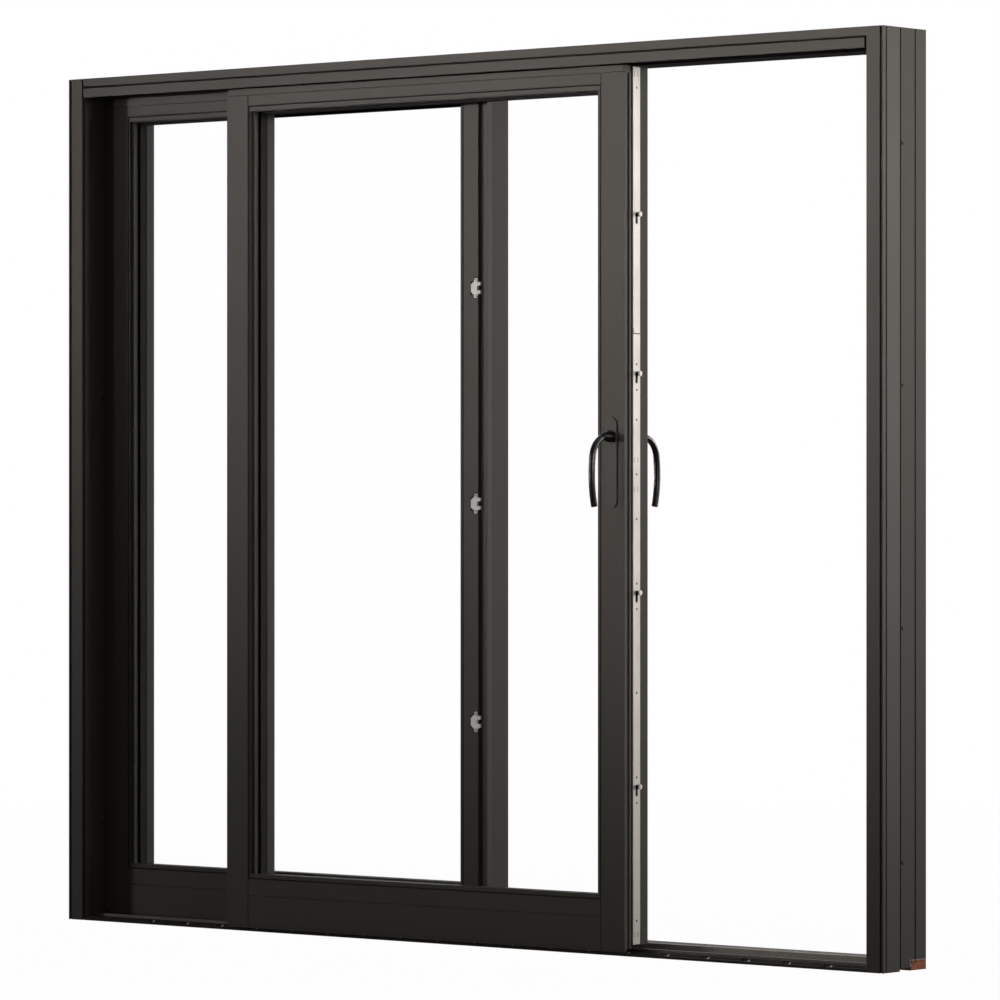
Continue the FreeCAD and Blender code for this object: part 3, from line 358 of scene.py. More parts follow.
def bristle_row():
    """Geometry nodes that stand one bristle at each step of a line, each a little longer, shorter or askew."""
    tree = bpy.data.node_groups.new("bristle row", "GeometryNodeTree")
    tree.interface.new_socket("Geometry", in_out="INPUT", socket_type="NodeSocketGeometry")
    for label, kind in (("Bristles", "Int"), ("Length", "Float"), ("Height", "Float"), ("Thickness", "Float"),
                        ("Finish", "Material")):
        tree.interface.new_socket(label, in_out="INPUT", socket_type="NodeSocket" + kind)
    tree.interface.new_socket("Geometry", in_out="OUTPUT", socket_type="NodeSocketGeometry")
    link = tree.links.new
    start = tree.nodes.new("NodeGroupInput")
    end = tree.nodes.new("NodeGroupOutput")
    line = add_node(tree, "GeometryNodeMeshLine", {"mode": "END_POINTS", "count_mode": "TOTAL"})
    link(start.outputs["Bristles"], line.inputs["Count"])
    half = add_node(tree, "ShaderNodeMath", {"operation": "MULTIPLY"})
    half.inputs[1].default_value = 0.5
    link(start.outputs["Length"], half.inputs[0])
    left = add_node(tree, "ShaderNodeMath", {"operation": "MULTIPLY"})
    left.inputs[1].default_value = -0.5
    link(start.outputs["Length"], left.inputs[0])
    for number, socket in ((left, "Start Location"), (half, "Offset")):
        corner = tree.nodes.new("ShaderNodeCombineXYZ")
        link(number.outputs["Value"], corner.inputs["X"])
        link(corner.outputs["Vector"], line.inputs[socket])
    hair = add_node(tree, "GeometryNodeMeshCone", {"fill_type": "NGON"}, {"Vertices": 4, "Side Segments": 1})
    link(start.outputs["Thickness"], hair.inputs["Radius Bottom"])
    tip = add_node(tree, "ShaderNodeMath", {"operation": "MULTIPLY"})
    tip.inputs[1].default_value = 0.4
    link(start.outputs["Thickness"], tip.inputs[0])
    link(tip.outputs["Value"], hair.inputs["Radius Top"])
    link(start.outputs["Height"], hair.inputs["Depth"])
    lean = add_node(tree, "FunctionNodeRandomValue", {"data_type": "FLOAT_VECTOR"})
    lean.inputs[0].default_value = (math.pi - 0.12, -0.14, 0.0)
    lean.inputs[1].default_value = (math.pi + 0.12, 0.14, 1.5)
    lean.inputs["Seed"].default_value = 4
    stretch = add_node(tree, "FunctionNodeRandomValue", {"data_type": "FLOAT"})
    stretch.inputs[2].default_value = 0.8
    stretch.inputs[3].default_value = 1.0
    stretch.inputs["Seed"].default_value = 9
    stand = tree.nodes.new("GeometryNodeInstanceOnPoints")
    link(line.outputs["Mesh"], stand.inputs["Points"])
    link(hair.outputs["Mesh"], stand.inputs["Instance"])
    link(lean.outputs[0], stand.inputs["Rotation"])
    link(stretch.outputs[1], stand.inputs["Scale"])
    real = tree.nodes.new("GeometryNodeRealizeInstances")
    link(stand.outputs["Instances"], real.inputs["Geometry"])
    finish = tree.nodes.new("GeometryNodeSetMaterial")
    link(real.outputs["Geometry"], finish.inputs["Geometry"])
    link(start.outputs["Finish"], finish.inputs["Material"])
    link(finish.outputs["Geometry"], end.inputs["Geometry"])
    return tree


def grown_mesh(name, tree, values, carrier_mesh):
    """The plain mesh that a tree grows from a carrier, with the tree's inputs set by name."""
    carrier = bpy.data.objects.new(name, carrier_mesh)
    bpy.context.scene.collection.objects.link(carrier)
    grower = carrier.modifiers.new("grow", "NODES")
    grower.node_group = tree
    for item in tree.interface.items_tree:
        if item.in_out == "INPUT" and item.name in values:
            grower[item.identifier] = values[item.name]
    shown = carrier.evaluated_get(bpy.context.evaluated_depsgraph_get())
    mesh = bpy.data.meshes.new_from_object(shown)
    mesh.name = name
    bpy.data.objects.remove(carrier)
    return mesh


brush_hair = grown_mesh("brush_hair", bristle_row(), {
    "Bristles": 1500, "Length": BRUSH_LENGTH, "Height": 0.011, "Thickness": 0.0009, "Finish": SEAL_RUBBER},
    bpy.data.meshes.new("brush start"))
head_brush = bmesh.new()
head_brush.from_mesh(brush_hair)
bmesh.ops.translate(head_brush, verts=head_brush.verts, vec=(0.0, -0.0730, BRUSH_FOOT))
add_strip(head_brush, bulb(-0.0755, -0.0705, BRUSH_FOOT - 0.001, BRUSH_FOOT + 0.002), "x",
          -BRUSH_LENGTH / 2, BRUSH_LENGTH / 2)
finish_piece("head_brush", head_brush, SEAL_RUBBER, "frame")


# The plugs of the fixing holes
# Black moulded caps pushed into the eight holes through which the frame is screwed to the wall.

PLUG_HEIGHTS = (0.239, 0.759, 1.297, 1.833)
PLUG_DEPTH = -0.010


def turned(profile, sides=20):
    """A mesh turned about Z from (radius, height) points that start and end on the axis."""
    form = bmesh.new()
    rings = []
    for radius, height in profile:
        if radius == 0:
            rings.append([form.verts.new((0.0, 0.0, height))])
        else:
            rings.append([form.verts.new((radius * math.cos(math.tau * side / sides),
                                          radius * math.sin(math.tau * side / sides), height)) for side in range(sides)])
    for lower, upper in zip(rings, rings[1:]):
        for side in range(sides):
            following = (side + 1) % sides
            corners = [lower[side % len(lower)], lower[following % len(lower)],
                       upper[following % len(upper)], upper[side % len(upper)]]
            form.faces.new(list(dict.fromkeys(corners)))
    bmesh.ops.recalc_face_normals(form, faces=form.faces)
    return form


def repeated():
    """Geometry nodes that set one shape at each point, turned and finished alike."""
    tree = bpy.data.node_groups.new("repeated", "GeometryNodeTree")
    tree.interface.new_socket("Geometry", in_out="INPUT", socket_type="NodeSocketGeometry")
    for label, kind in (("Shape", "Object"), ("Turn", "Rotation"), ("Finish", "Material")):
        tree.interface.new_socket(label, in_out="INPUT", socket_type="NodeSocket" + kind)
    tree.interface.new_socket("Geometry", in_out="OUTPUT", socket_type="NodeSocketGeometry")
    link = tree.links.new
    start = tree.nodes.new("NodeGroupInput")
    end = tree.nodes.new("NodeGroupOutput")
    shape = tree.nodes.new("GeometryNodeObjectInfo")
    link(start.outputs["Shape"], shape.inputs["Object"])
    stand = tree.nodes.new("GeometryNodeInstanceOnPoints")
    link(start.outputs["Geometry"], stand.inputs["Points"])
    link(shape.outputs["Geometry"], stand.inputs["Instance"])
    link(start.outputs["Turn"], stand.inputs["Rotation"])
    real = tree.nodes.new("GeometryNodeRealizeInstances")
    link(stand.outputs["Instances"], real.inputs["Geometry"])
    finish = tree.nodes.new("GeometryNodeSetMaterial")
    link(real.outputs["Geometry"], finish.inputs["Geometry"])
    link(start.outputs["Finish"], finish.inputs["Material"])
    link(finish.outputs["Geometry"], end.inputs["Geometry"])
    return tree


REPEATED = repeated()


def add_repeats(form, shape, places, turn, material):
    """Adds a copy of the shape, turned alike, at each of the places."""
    shape_mesh = bpy.data.meshes.new("repeated shape")
    shape.to_mesh(shape_mesh)
    pattern = bpy.data.objects.new("repeated shape", shape_mesh)
    bpy.context.scene.collection.objects.link(pattern)
    points = bpy.data.meshes.new("repeated places")
    points.from_pydata(places, [], [])
    mesh = grown_mesh("repeats", REPEATED, {"Shape": pattern, "Turn": turn, "Finish": material}, points)
    bpy.data.objects.remove(pattern)
    form.from_mesh(mesh)


def moulded_nylon():
    """Black moulded nylon with a fine spark-eroded texture."""
    material, tree, shader, place = new_material("moulded nylon")
    shader.inputs["Specular IOR Level"].default_value = 0.3
    spark = add_node(tree, "ShaderNodeTexNoise", values={"Scale": 900.0, "Detail": 3.0})
    tree.links.new(place, spark.inputs["Vector"])
    skin = add_node(tree, "ShaderNodeValToRGB")
    skin.color_ramp.elements[0].color = tone(18, 18, 18)
    skin.color_ramp.elements[1].color = tone(34, 33, 32)
    tree.links.new(spark.outputs["Fac"], skin.inputs["Fac"])
    tree.links.new(skin.outputs["Color"], shader.inputs["Base Color"])
    rough = add_node(tree, "ShaderNodeMapRange", values={"To Min": 0.42, "To Max": 0.6})
    tree.links.new(spark.outputs["Fac"], rough.inputs["Value"])
    tree.links.new(rough.outputs["Result"], shader.inputs["Roughness"])
    bump = add_node(tree, "ShaderNodeBump", values={"Strength": 0.12, "Distance": 0.0003})
    tree.links.new(spark.outputs["Fac"], bump.inputs["Height"])
    tree.links.new(bump.outputs["Normal"], shader.inputs["Normal"])
    return material


MOULDED_NYLON = moulded_nylon()

plug = turned([(0.0, -0.006), (0.0034, -0.006), (0.0038, -0.005), (0.0038, -0.0006), (0.0034, 0.0), (0.0012, 0.0),
               (0.0009, -0.0008), (0.0, -0.0008)])
plugs = bmesh.new()
for edge, turn in ((-1, -math.pi / 2), (1, math.pi / 2)):
    add_repeats(plugs, plug, [(edge * 1.2435, PLUG_DEPTH, height) for height in PLUG_HEIGHTS], (0.0, turn, 0.0), MOULDED_NYLON)
finish_piece("fixing_plugs", plugs, MOULDED_NYLON, "frame")


# The threshold
# A hardwood core that carries the door's weight, a coated sill that sheds water through notches in its nose,
# a ribbed tread plate, and the bright rail that the rollers run on.


def hardwood_group():
    """Colour, roughness and normal of oiled red-brown hardwood with its length on X of the place."""
    group, start, end = new_group(
        "oiled hardwood",
        [("Place", "Vector", None), ("Light Wood", "Color", None), ("Dark Wood", "Color", None)],
        [("Color", "Color"), ("Roughness", "Float"), ("Normal", "Vector")])
    link = group.links.new
    stretch = add_node(group, "ShaderNodeMapping", values={"Scale": (0.04, 1.0, 1.0)})
    link(start.outputs["Place"], stretch.inputs["Vector"])
    ring = add_node(group, "ShaderNodeTexNoise", values={"Scale": 130.0, "Detail": 3.0, "Distortion": 0.6})
    link(stretch.outputs["Vector"], ring.inputs["Vector"])
    pore = add_node(group, "ShaderNodeTexNoise", values={"Scale": 900.0, "Detail": 2.0})
    link(stretch.outputs["Vector"], pore.inputs["Vector"])
    mark = add_node(group, "ShaderNodeMapRange", values={"From Min": 0.35, "From Max": 0.65})
    link(ring.outputs["Fac"], mark.inputs["Value"])
    colour = add_node(group, "ShaderNodeMix", {"data_type": "RGBA"})
    link(mark.outputs["Result"], colour.inputs["Factor"])
    link(start.outputs["Light Wood"], colour.inputs[6])
    link(start.outputs["Dark Wood"], colour.inputs[7])
    link(colour.outputs[2], end.inputs["Color"])
    rough = add_node(group, "ShaderNodeMapRange", values={"To Min": 0.5, "To Max": 0.75})
    link(pore.outputs["Fac"], rough.inputs["Value"])
    link(rough.outputs["Result"], end.inputs["Roughness"])
    bump = add_node(group, "ShaderNodeBump", values={"Strength": 0.3, "Distance": 0.0004})
    link(pore.outputs["Fac"], bump.inputs["Height"])
    link(bump.outputs["Normal"], end.inputs["Normal"])
    return group


HARDWOOD = hardwood_group()


def threshold_wood():
    material, tree, shader, place = new_material("oiled threshold hardwood")
    shader.inputs["Specular IOR Level"].default_value = 0.2
    use_group(tree, HARDWOOD, place, shader, {"Light Wood": tone(206, 128, 88), "Dark Wood": tone(146, 86, 62)})
    return material


def drawn_metal_group():
    """Colour, roughness and normal of drawn or rolled metal whose fine lines run along X of the place."""
    group, start, end = new_group(
        "drawn metal",
        [("Place", "Vector", None), ("Metal", "Color", None), ("Roughness", "Float", 0.35),
         ("Line Depth", "Float", 0.15)],
        [("Color", "Color"), ("Roughness", "Float"), ("Normal", "Vector")])
    link = group.links.new
    stretch = add_node(group, "ShaderNodeMapping", values={"Scale": (0.01, 1.0, 1.0)})
    link(start.outputs["Place"], stretch.inputs["Vector"])
    line = add_node(group, "ShaderNodeTexNoise", values={"Scale": 1300.0, "Detail": 3.0})
    link(stretch.outputs["Vector"], line.inputs["Vector"])
    smear = add_node(group, "ShaderNodeTexNoise", values={"Scale": 22.0, "Detail": 4.0})
    link(start.outputs["Place"], smear.inputs["Vector"])
    light = add_node(group, "ShaderNodeMapRange", values={"To Min": 0.9, "To Max": 1.08})
    link(line.outputs["Fac"], light.inputs["Value"])
    metal = add_node(group, "ShaderNodeVectorMath", {"operation": "SCALE"})
    link(start.outputs["Metal"], metal.inputs[0])
    link(light.outputs["Result"], metal.inputs["Scale"])
    link(metal.outputs["Vector"], end.inputs["Color"])
    rub = add_node(group, "ShaderNodeMapRange", values={"To Min": -0.1, "To Max": 0.1})
    link(smear.outputs["Fac"], rub.inputs["Value"])
    rough = add_node(group, "ShaderNodeMath", {"operation": "ADD"})
    link(start.outputs["Roughness"], rough.inputs[0])
    link(rub.outputs["Result"], rough.inputs[1])
    link(rough.outputs["Value"], end.inputs["Roughness"])
    soft = add_node(group, "ShaderNodeBevel", {"samples": 4}, {"Radius": 0.0004})
    bump = add_node(group, "ShaderNodeBump", values={"Distance": 0.0002})
    link(start.outputs["Line Depth"], bump.inputs["Strength"])
    link(line.outputs["Fac"], bump.inputs["Height"])
    link(soft.outputs["Normal"], bump.inputs["Normal"])
    link(bump.outputs["Normal"], end.inputs["Normal"])
    return group


DRAWN_METAL = drawn_metal_group()


def drawn_metal(name, colour, roughness, turn, metallic=1.0):
    """A bare metal whose drawing lines follow the piece: turn lays its length on X."""
    material, tree, shader, place = new_material(name)
    shader.inputs["Metallic"].default_value = metallic
    lay = add_node(tree, "ShaderNodeMapping", values={"Rotation": turn})
    tree.links.new(place, lay.inputs["Vector"])
    use_group(tree, DRAWN_METAL, lay.outputs["Vector"], shader,
              {"Metal": colour, "Roughness": roughness})
    return material


RUNNING_RAIL = drawn_metal("running rail aluminium", tone(84, 81, 77), 0.45, (0.0, 0.0, 0.0), 0.5)


def tread_metal():
    """Rolled aluminium with a fine raised grit, rubbed bright on its high spots."""
    material, tree, shader, place = new_material("gritted tread aluminium")
    shader.inputs["Metallic"].default_value = 0.5
    grit = add_node(tree, "ShaderNodeTexVoronoi", values={"Scale": 420.0, "Randomness": 0.8})
    tree.links.new(place, grit.inputs["Vector"])
    wear = add_node(tree, "ShaderNodeTexNoise", values={"Scale": 30.0, "Detail": 4.0})
    tree.links.new(place, wear.inputs["Vector"])
    high = add_node(tree, "ShaderNodeMapRange", values={"From Min": 0.45, "From Max": 0.1})
    tree.links.new(grit.outputs["Distance"], high.inputs["Value"])
    rubbed = add_node(tree, "ShaderNodeMath", {"operation": "MULTIPLY"})
    tree.links.new(high.outputs["Result"], rubbed.inputs[0])
    tree.links.new(wear.outputs["Fac"], rubbed.inputs[1])
    skin = add_node(tree, "ShaderNodeValToRGB")
    skin.color_ramp.elements[0].color = tone(150, 145, 139)
    skin.color_ramp.elements[1].color = tone(240, 235, 228)
    tree.links.new(rubbed.outputs["Value"], skin.inputs["Fac"])
    tree.links.new(skin.outputs["Color"], shader.inputs["Base Color"])
    rough = add_node(tree, "ShaderNodeMapRange", values={"To Min": 0.62, "To Max": 0.36})
    tree.links.new(rubbed.outputs["Value"], rough.inputs["Value"])
    tree.links.new(rough.outputs["Result"], shader.inputs["Roughness"])
    bump = add_node(tree, "ShaderNodeBump", values={"Strength": 0.7, "Distance": 0.0004})
    tree.links.new(high.outputs["Result"], bump.inputs["Height"])
    tree.links.new(bump.outputs["Normal"], shader.inputs["Normal"])
    return material


# The sill's coat is drawn darker than the cladding's: painted shade on the low sill. Its gloss is lower too.
SHADED_SILL_BRONZE = (58, 54, 49)

dress(threshold_wood(), "threshold_core")
dress(coated_aluminium("shaded sill aluminium", SHADED_SILL_BRONZE, 0.04), "threshold_sill")
dress(RUNNING_RAIL, "running_rail")
dress(tread_metal(), "tread_plate")

NOTCH_PITCH = 0.1145
FIRST_NOTCH = 1.102
NOTCHES = 19
TREAD_SCREWS = (0.16, 0.41, 0.66, 0.91, 1.16)

CUT_ALUMINIUM = drawn_metal("fresh cut aluminium", tone(236, 230, 222), 0.4, (0.0, math.radians(90), 0.0), 0.1)

# Each notch gets a thin bright aluminium plate on only the wall that faces the key lamp: the bare cut edge, with a
# painted highlight on that lit wall.
cut_edge = bmesh.new()
add_strip(cut_edge, [(-0.0805, 0.0056), (-0.0668, 0.0066), (-0.0665, 0.0078), (-0.0698, 0.0101), (-0.0742, 0.0101),
                     (-0.0765, 0.0078), (-0.0805, 0.0062)], "x", -0.0042, 0.0)
notch_edge_highlights = bmesh.new()
add_repeats(notch_edge_highlights, cut_edge, [(FIRST_NOTCH - NOTCH_PITCH * number, 0.0, 0.0) for number in range(NOTCHES)],
            (0.0, 0.0, 0.0), CUT_ALUMINIUM)
finish_piece("notch_cut_edges", notch_edge_highlights, CUT_ALUMINIUM, "frame")

screw_head = turned([(0.0, -0.0016), (0.0026, -0.0016), (0.0034, -0.0006), (0.0035, 0.0), (0.0033, 0.0004),
                     (0.0024, 0.0007), (0.0013, 0.0008), (0.0010, 0.0), (0.0006, -0.0008), (0.0, -0.0008)])
tread_screws = bmesh.new()
add_repeats(tread_screws, screw_head, [(along, 0.0515, 0.0236) for along in TREAD_SCREWS], (0.0, 0.0, 0.0), CUT_ALUMINIUM)
finish_piece("tread_screws", tread_screws, CUT_ALUMINIUM, "frame")


# The fixed pane
# Painted timber stiles and rails with clad faces, a snap-in glazing bead, rubber seals and one sealed glass unit,
# all fastened inside the frame's left half.


def clear_glass():
    """Clear float glass. Light passes it, so that it throws no dark shadow."""
    material, tree, shader, place = new_material("clear float glass")
    shader.inputs["Transmission Weight"].default_value = 1.0
    shader.inputs["IOR"].default_value = 1.02
    shader.inputs["Coat Weight"].default_value = 0.1
    shader.inputs["Coat Roughness"].default_value = 0.02
    shader.inputs["Base Color"].default_value = (1.0, 1.0, 1.0, 1.0)
    film = add_node(tree, "ShaderNodeTexNoise", values={"Scale": 9.0, "Detail": 3.0})
    tree.links.new(place, film.inputs["Vector"])
    rough = add_node(tree, "ShaderNodeMapRange", values={"To Min": 0.0, "To Max": 0.012})
    tree.links.new(film.outputs["Fac"], rough.inputs["Value"])
    tree.links.new(rough.outputs["Result"], shader.inputs["Roughness"])
    way = add_node(tree, "ShaderNodeLightPath")
    either = add_node(tree, "ShaderNodeMath", {"operation": "MAXIMUM"})
    tree.links.new(way.outputs["Is Shadow Ray"], either.inputs[0])
    tree.links.new(way.outputs["Is Diffuse Ray"], either.inputs[1])
    unseen = add_node(tree, "ShaderNodeMath", {"operation": "MAXIMUM"})
    tree.links.new(either.outputs["Value"], unseen.inputs[0])
    tree.links.new(way.outputs["Is Glossy Ray"], unseen.inputs[1])
    through = tree.nodes.new("ShaderNodeBsdfTransparent")
    pick = tree.nodes.new("ShaderNodeMixShader")
    tree.links.new(unseen.outputs["Value"], pick.inputs["Fac"])
    tree.links.new(shader.outputs["BSDF"], pick.inputs[1])
    tree.links.new(through.outputs["BSDF"], pick.inputs[2])
    tree.links.new(pick.outputs["Shader"], tree.nodes["Material Output"].inputs["Surface"])
    return material


CLEAR_GLASS = clear_glass()

dress(UPRIGHT_TIMBER, "fixed_stile_left", "fixed_stile_meeting")
dress(LEVEL_TIMBER, "fixed_rail_top", "fixed_rail_bottom")
dress(COATED_ALUMINIUM, "fixed_cladding_left", "fixed_cladding_meeting", "fixed_cladding_top", "fixed_cladding_bottom",
      "fixed_bottom_cover", "fixed_top_hood", "fixed_glazing_bead", "meeting_interlock")
dress(SEAL_RUBBER, "fixed_glass_seal", "head_guide_channel")

PANE = 0.004
SPACER_WIDTH = 0.016


def sealed_unit(name, node, body):
    """Two panes with softened edges, and the black spacer that holds them apart all round."""
    low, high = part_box(node)
    panes = bmesh.new()
    for front in (low.y, high.y - PANE):
        add_strip(panes, bulb(low.x, high.x, front, front + PANE), "z", low.z, high.z)
    unit = finish_piece(name + "_panes", panes, CLEAR_GLASS, body)
    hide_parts(node)
    spacer = bmesh.new()
    front, back = low.y + PANE, high.y - PANE
    corners = []
    for inset in (0.001, SPACER_WIDTH):
        for depth in (front, back):
            corners.append([spacer.verts.new((x, depth, z)) for x, z in (
                (low.x + inset, low.z + inset), (high.x - inset, low.z + inset),
                (high.x - inset, high.z - inset), (low.x + inset, high.z - inset))])
    outer_front, outer_back, inner_front, inner_back = corners
    for number in range(4):
        following = (number + 1) % 4
        for near, far in ((outer_front, inner_front), (inner_front, inner_back),
                          (inner_back, outer_back), (outer_back, outer_front)):
            spacer.faces.new((near[number], near[following], far[following], far[number]))
    finish_piece(name + "_spacer", spacer, SEAL_RUBBER, body)


sealed_unit("fixed_unit", "fixed_glass", "frame")

# Black strips round the glazing beads, wider than the joints, are painted shade for the shade that falls in the beads'
# recesses.
SIDE_COVER = 0.0045
RAIL_COVER = 0.0032
SHADE_STRIP_SETBACK = 0.0009
SHADE_STRIP_DEPTH = 0.0016


def bead_recess_shade(name, body, left, right, top, bottom):
    """Black rubber in the joint round a glazing bead and over the bead's edge, between the four claddings that hold
    it: painted shade for the recess beside the bead.
    """
    left_edge, right_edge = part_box(left)[1].x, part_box(right)[0].x
    foot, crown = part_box(bottom)[1].z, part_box(top)[0].z
    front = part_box(left)[0].y + SHADE_STRIP_SETBACK
    back = front + SHADE_STRIP_DEPTH
    form = bmesh.new()
    for low in (left_edge, right_edge - SIDE_COVER):
        add_strip(form, bulb(low, low + SIDE_COVER, front, back), "z", foot, crown)
    for low in (foot, crown - RAIL_COVER):
        add_strip(form, bulb(front, back, low, low + RAIL_COVER), "x", left_edge + SIDE_COVER, right_edge - SIDE_COVER)
    finish_piece(name, form, SEAL_RUBBER, body)


# Painted shade round the fixed pane's bead.
bead_recess_shade("fixed_bead_gasket", "frame", "fixed_cladding_left", "fixed_cladding_meeting", "fixed_cladding_top",
            "fixed_cladding_bottom")


# The sliding sash
# Built as the fixed pane is, in front of it, on two roller carriages that run on the rail.

dress(UPRIGHT_TIMBER, "sash_stile_rear", "sash_stile_lock")
dress(LEVEL_TIMBER, "sash_rail_top", "sash_rail_bottom")
dress(COATED_ALUMINIUM, "sash_cladding_rear", "sash_cladding_lock", "sash_cladding_top", "sash_cladding_bottom",
      "sash_bottom_cover", "sash_top_hood", "sash_glazing_bead", "sash_interlock")
dress(SEAL_RUBBER, "sash_glass_seal")
sealed_unit("sash_unit", "sash_glass", "sash")
# Painted shade round the sash's bead.
bead_recess_shade("sash_bead_gasket", "sash", "sash_cladding_rear", "sash_cladding_lock", "sash_cladding_top",
            "sash_cladding_bottom")

sash_seals = bmesh.new()
add_strip(sash_seals, bulb(0.5243, 0.5292, -0.0862, -0.0778), "z", 0.018, 2.019)
add_strip(sash_seals, bulb(-0.6982, -0.6933, -0.0862, -0.0778), "z", 0.018, 2.019)
finish_piece("sash_seals", sash_seals, SEAL_RUBBER, "sash")


# The lock
# A zinc-plated steel strip screwed down the sash's front edge guides the blackened rod behind it. The rod's
# mushroom cams have bright caps and hexagonal collars, and three hooked keepers sit on the fixed meeting stile.

PLATED_STEEL = drawn_metal("plated steel upright", tone(232, 226, 219), 0.34, (0.0, math.radians(90), 0.0), 0.05)

CAST_KEEPERS = drawn_metal("bright cast keepers", tone(255, 254, 250), 0.26, (0.0, math.radians(90), 0.0), 0.0)
dress(PLATED_STEEL, "lock_strip", "handle_spindle")
dress(CAST_KEEPERS, "keepers")

STRIP_FACE = 0.530
STRIP_MIDDLE = -0.05075
STRIP_SCREWS = (0.080, 0.602, 1.000, 1.1025, 1.2275, 1.988)
STRIP_SLITS = ((0.042, 0.054), (1.0625, 1.0745), (1.130, 1.1415), (2.013, 2.026))
STRIP_JOINT = 1.4245
CAM_HEIGHTS = (0.387, 0.831, 1.333, 1.698)
CAM_FACE = 0.542
SCREW_OVER_CAM = 0.0214
SCREW_UNDER_CAM = 0.0373
KEEPER_PLACE = (0.012, -0.0047)
KEEPER_HEIGHTS = (0.521, 1.035, 1.543)
LUG_REACH = 0.019

strip_screws = bmesh.new()
small_head = turned([(0.0, -0.0010), (0.0022, -0.0010), (0.0027, -0.0002), (0.0027, 0.0), (0.0024, 0.0003),
                     (0.0011, 0.0004), (0.0008, -0.0003), (0.0, -0.0006)], 16)
DARK_STEEL = drawn_metal("blackened steel", tone(30, 28, 26), 0.45, (0.0, math.radians(90), 0.0), 0.4)
dress(DARK_STEEL, "lock_rod")
screw_heights = [*STRIP_SCREWS]
for height in CAM_HEIGHTS[:3]:
    screw_heights += [height - SCREW_UNDER_CAM, height + SCREW_OVER_CAM]
add_repeats(strip_screws, small_head, [(STRIP_FACE, STRIP_MIDDLE, height) for height in screw_heights],
            (0.0, math.pi / 2, 0.0), DARK_STEEL)
finish_piece("strip_screws", strip_screws, DARK_STEEL, "sash")

strip_slits = bmesh.new()
for low, high in STRIP_SLITS:
    for aside in (-0.0086, 0.0036):
        add_strip(strip_slits, bulb(STRIP_FACE - 0.0008, STRIP_FACE + 0.0001, STRIP_MIDDLE + aside,
                                    STRIP_MIDDLE + aside + 0.0016), "z", low, high)
add_strip(strip_slits, bulb(STRIP_FACE - 0.0008, STRIP_FACE + 0.0001, -0.0634, -0.0381), "z",
          STRIP_JOINT - 0.0011, STRIP_JOINT + 0.0011)
add_strip(strip_slits, bulb(STRIP_FACE - 0.0008, STRIP_FACE + 0.0001, -0.0634, -0.0612), "z",
          STRIP_JOINT + 0.0011, STRIP_JOINT + 0.0120)
add_strip(strip_slits, bulb(STRIP_FACE - 0.0008, STRIP_FACE + 0.0001, -0.0392, -0.0381), "z",
          STRIP_JOINT + 0.0080, STRIP_JOINT + 0.0120)
finish_piece("strip_slits", strip_slits, DARK_STEEL, "sash")

cam_cap = turned([(0.0, -0.0034), (0.0062, -0.0034), (0.0064, -0.0030), (0.0064, -0.0006), (0.0056, 0.0002),
                  (0.0, 0.0003)], 24)
cam_caps = bmesh.new()
add_repeats(cam_caps, cam_cap, [(CAM_FACE, STRIP_MIDDLE, height) for height in CAM_HEIGHTS],
            (0.0, math.pi / 2, 0.0), PLATED_STEEL)
finish_piece("cam_caps", cam_caps, PLATED_STEEL, "lock_rod")

cam_collar = turned([(0.0, 0.0004), (0.0050, 0.0004), (0.0054, 0.0008), (0.0054, 0.0030), (0.0050, 0.0034),
                     (0.0, 0.0034)], 6)
cam_collars = bmesh.new()
add_repeats(cam_collars, cam_collar, [(STRIP_FACE, STRIP_MIDDLE, height) for height in CAM_HEIGHTS],
            (0.0, math.pi / 2, 0.0), DARK_STEEL)
finish_piece("cam_collars", cam_collars, DARK_STEEL, "lock_rod")

keeper_screws = bmesh.new()
add_repeats(keeper_screws, small_head,
            [(KEEPER_PLACE[0], KEEPER_PLACE[1] + 0.0012, height + reach)
             for height in KEEPER_HEIGHTS for reach in (-LUG_REACH, LUG_REACH)],
            (math.pi / 2, 0.0, 0.0), DARK_STEEL)
finish_piece("keeper_screws", keeper_screws, DARK_STEEL, "frame")


# Rollers and guides
# Two carriages of black glass-filled nylon under the sash and two guide shoes on its top edge.

dress(MOULDED_NYLON, "roller_carriages", "guide_shoes")

AXLE_HEIGHT = 0.0293
AXLE_PLACES = (-0.579, -0.519, 0.350, 0.410)

carriage_steel = bmesh.new()
for middle in AXLE_PLACES:
    for front in (-0.0540, -0.0374):
        add_strip(carriage_steel, [
            (middle - 0.008, 0.0345), (middle - 0.008, 0.030), (middle - 0.005, 0.0255), (middle + 0.005, 0.0255),
            (middle + 0.008, 0.030), (middle + 0.008, 0.0345)], "y", front, front + 0.0014)
axle = turned([(0.0, -0.0097), (0.0030, -0.0097), (0.0034, -0.0091), (0.0034, -0.0084), (0.0020, -0.0084),
               (0.0020, 0.0084), (0.0034, 0.0084), (0.0034, 0.0091), (0.0030, 0.0097), (0.0, 0.0097)], 16)
add_repeats(carriage_steel, axle, [(middle, -0.045, AXLE_HEIGHT) for middle in AXLE_PLACES],
            (math.pi / 2, 0.0, 0.0), PLATED_STEEL)
finish_piece("roller_cheeks", carriage_steel, PLATED_STEEL, "sash")


# The handle
# A bow lever on each side of the sash turns one square spindle. Both plates hide their screws.


def handle_metal(name, colour, roughness, gloss):
    """Cast metal under a dark coat."""
    material, tree, shader, place = new_material(name)
    shader.inputs["Specular IOR Level"].default_value = gloss
    # The paler edge colour is a painted highlight on the edges of the plates and levers, and partly their thinner coat
    # there.
    use_group(tree, POWDER_COAT, place, shader,
              {"Coat": colour, "Thin Edge And Highlight": tone(98, 94, 89), "Edge Radius": 0.0012, "Peel Depth": 0.03,
               "Roughness": roughness})
    return material


dress(handle_metal("coated handle plate", tone(69, 66, 61), 0.42, 0.16), "handle_plate_outside", "handle_plate_inside")
SATIN_BLACK = handle_metal("satin black lever", tone(9, 9, 8), 0.26, 0.6)
dress(SATIN_BLACK, "handle_lever_outside", "handle_lever_inside")

HANDLE_AXIS = (0.492, 1.188)

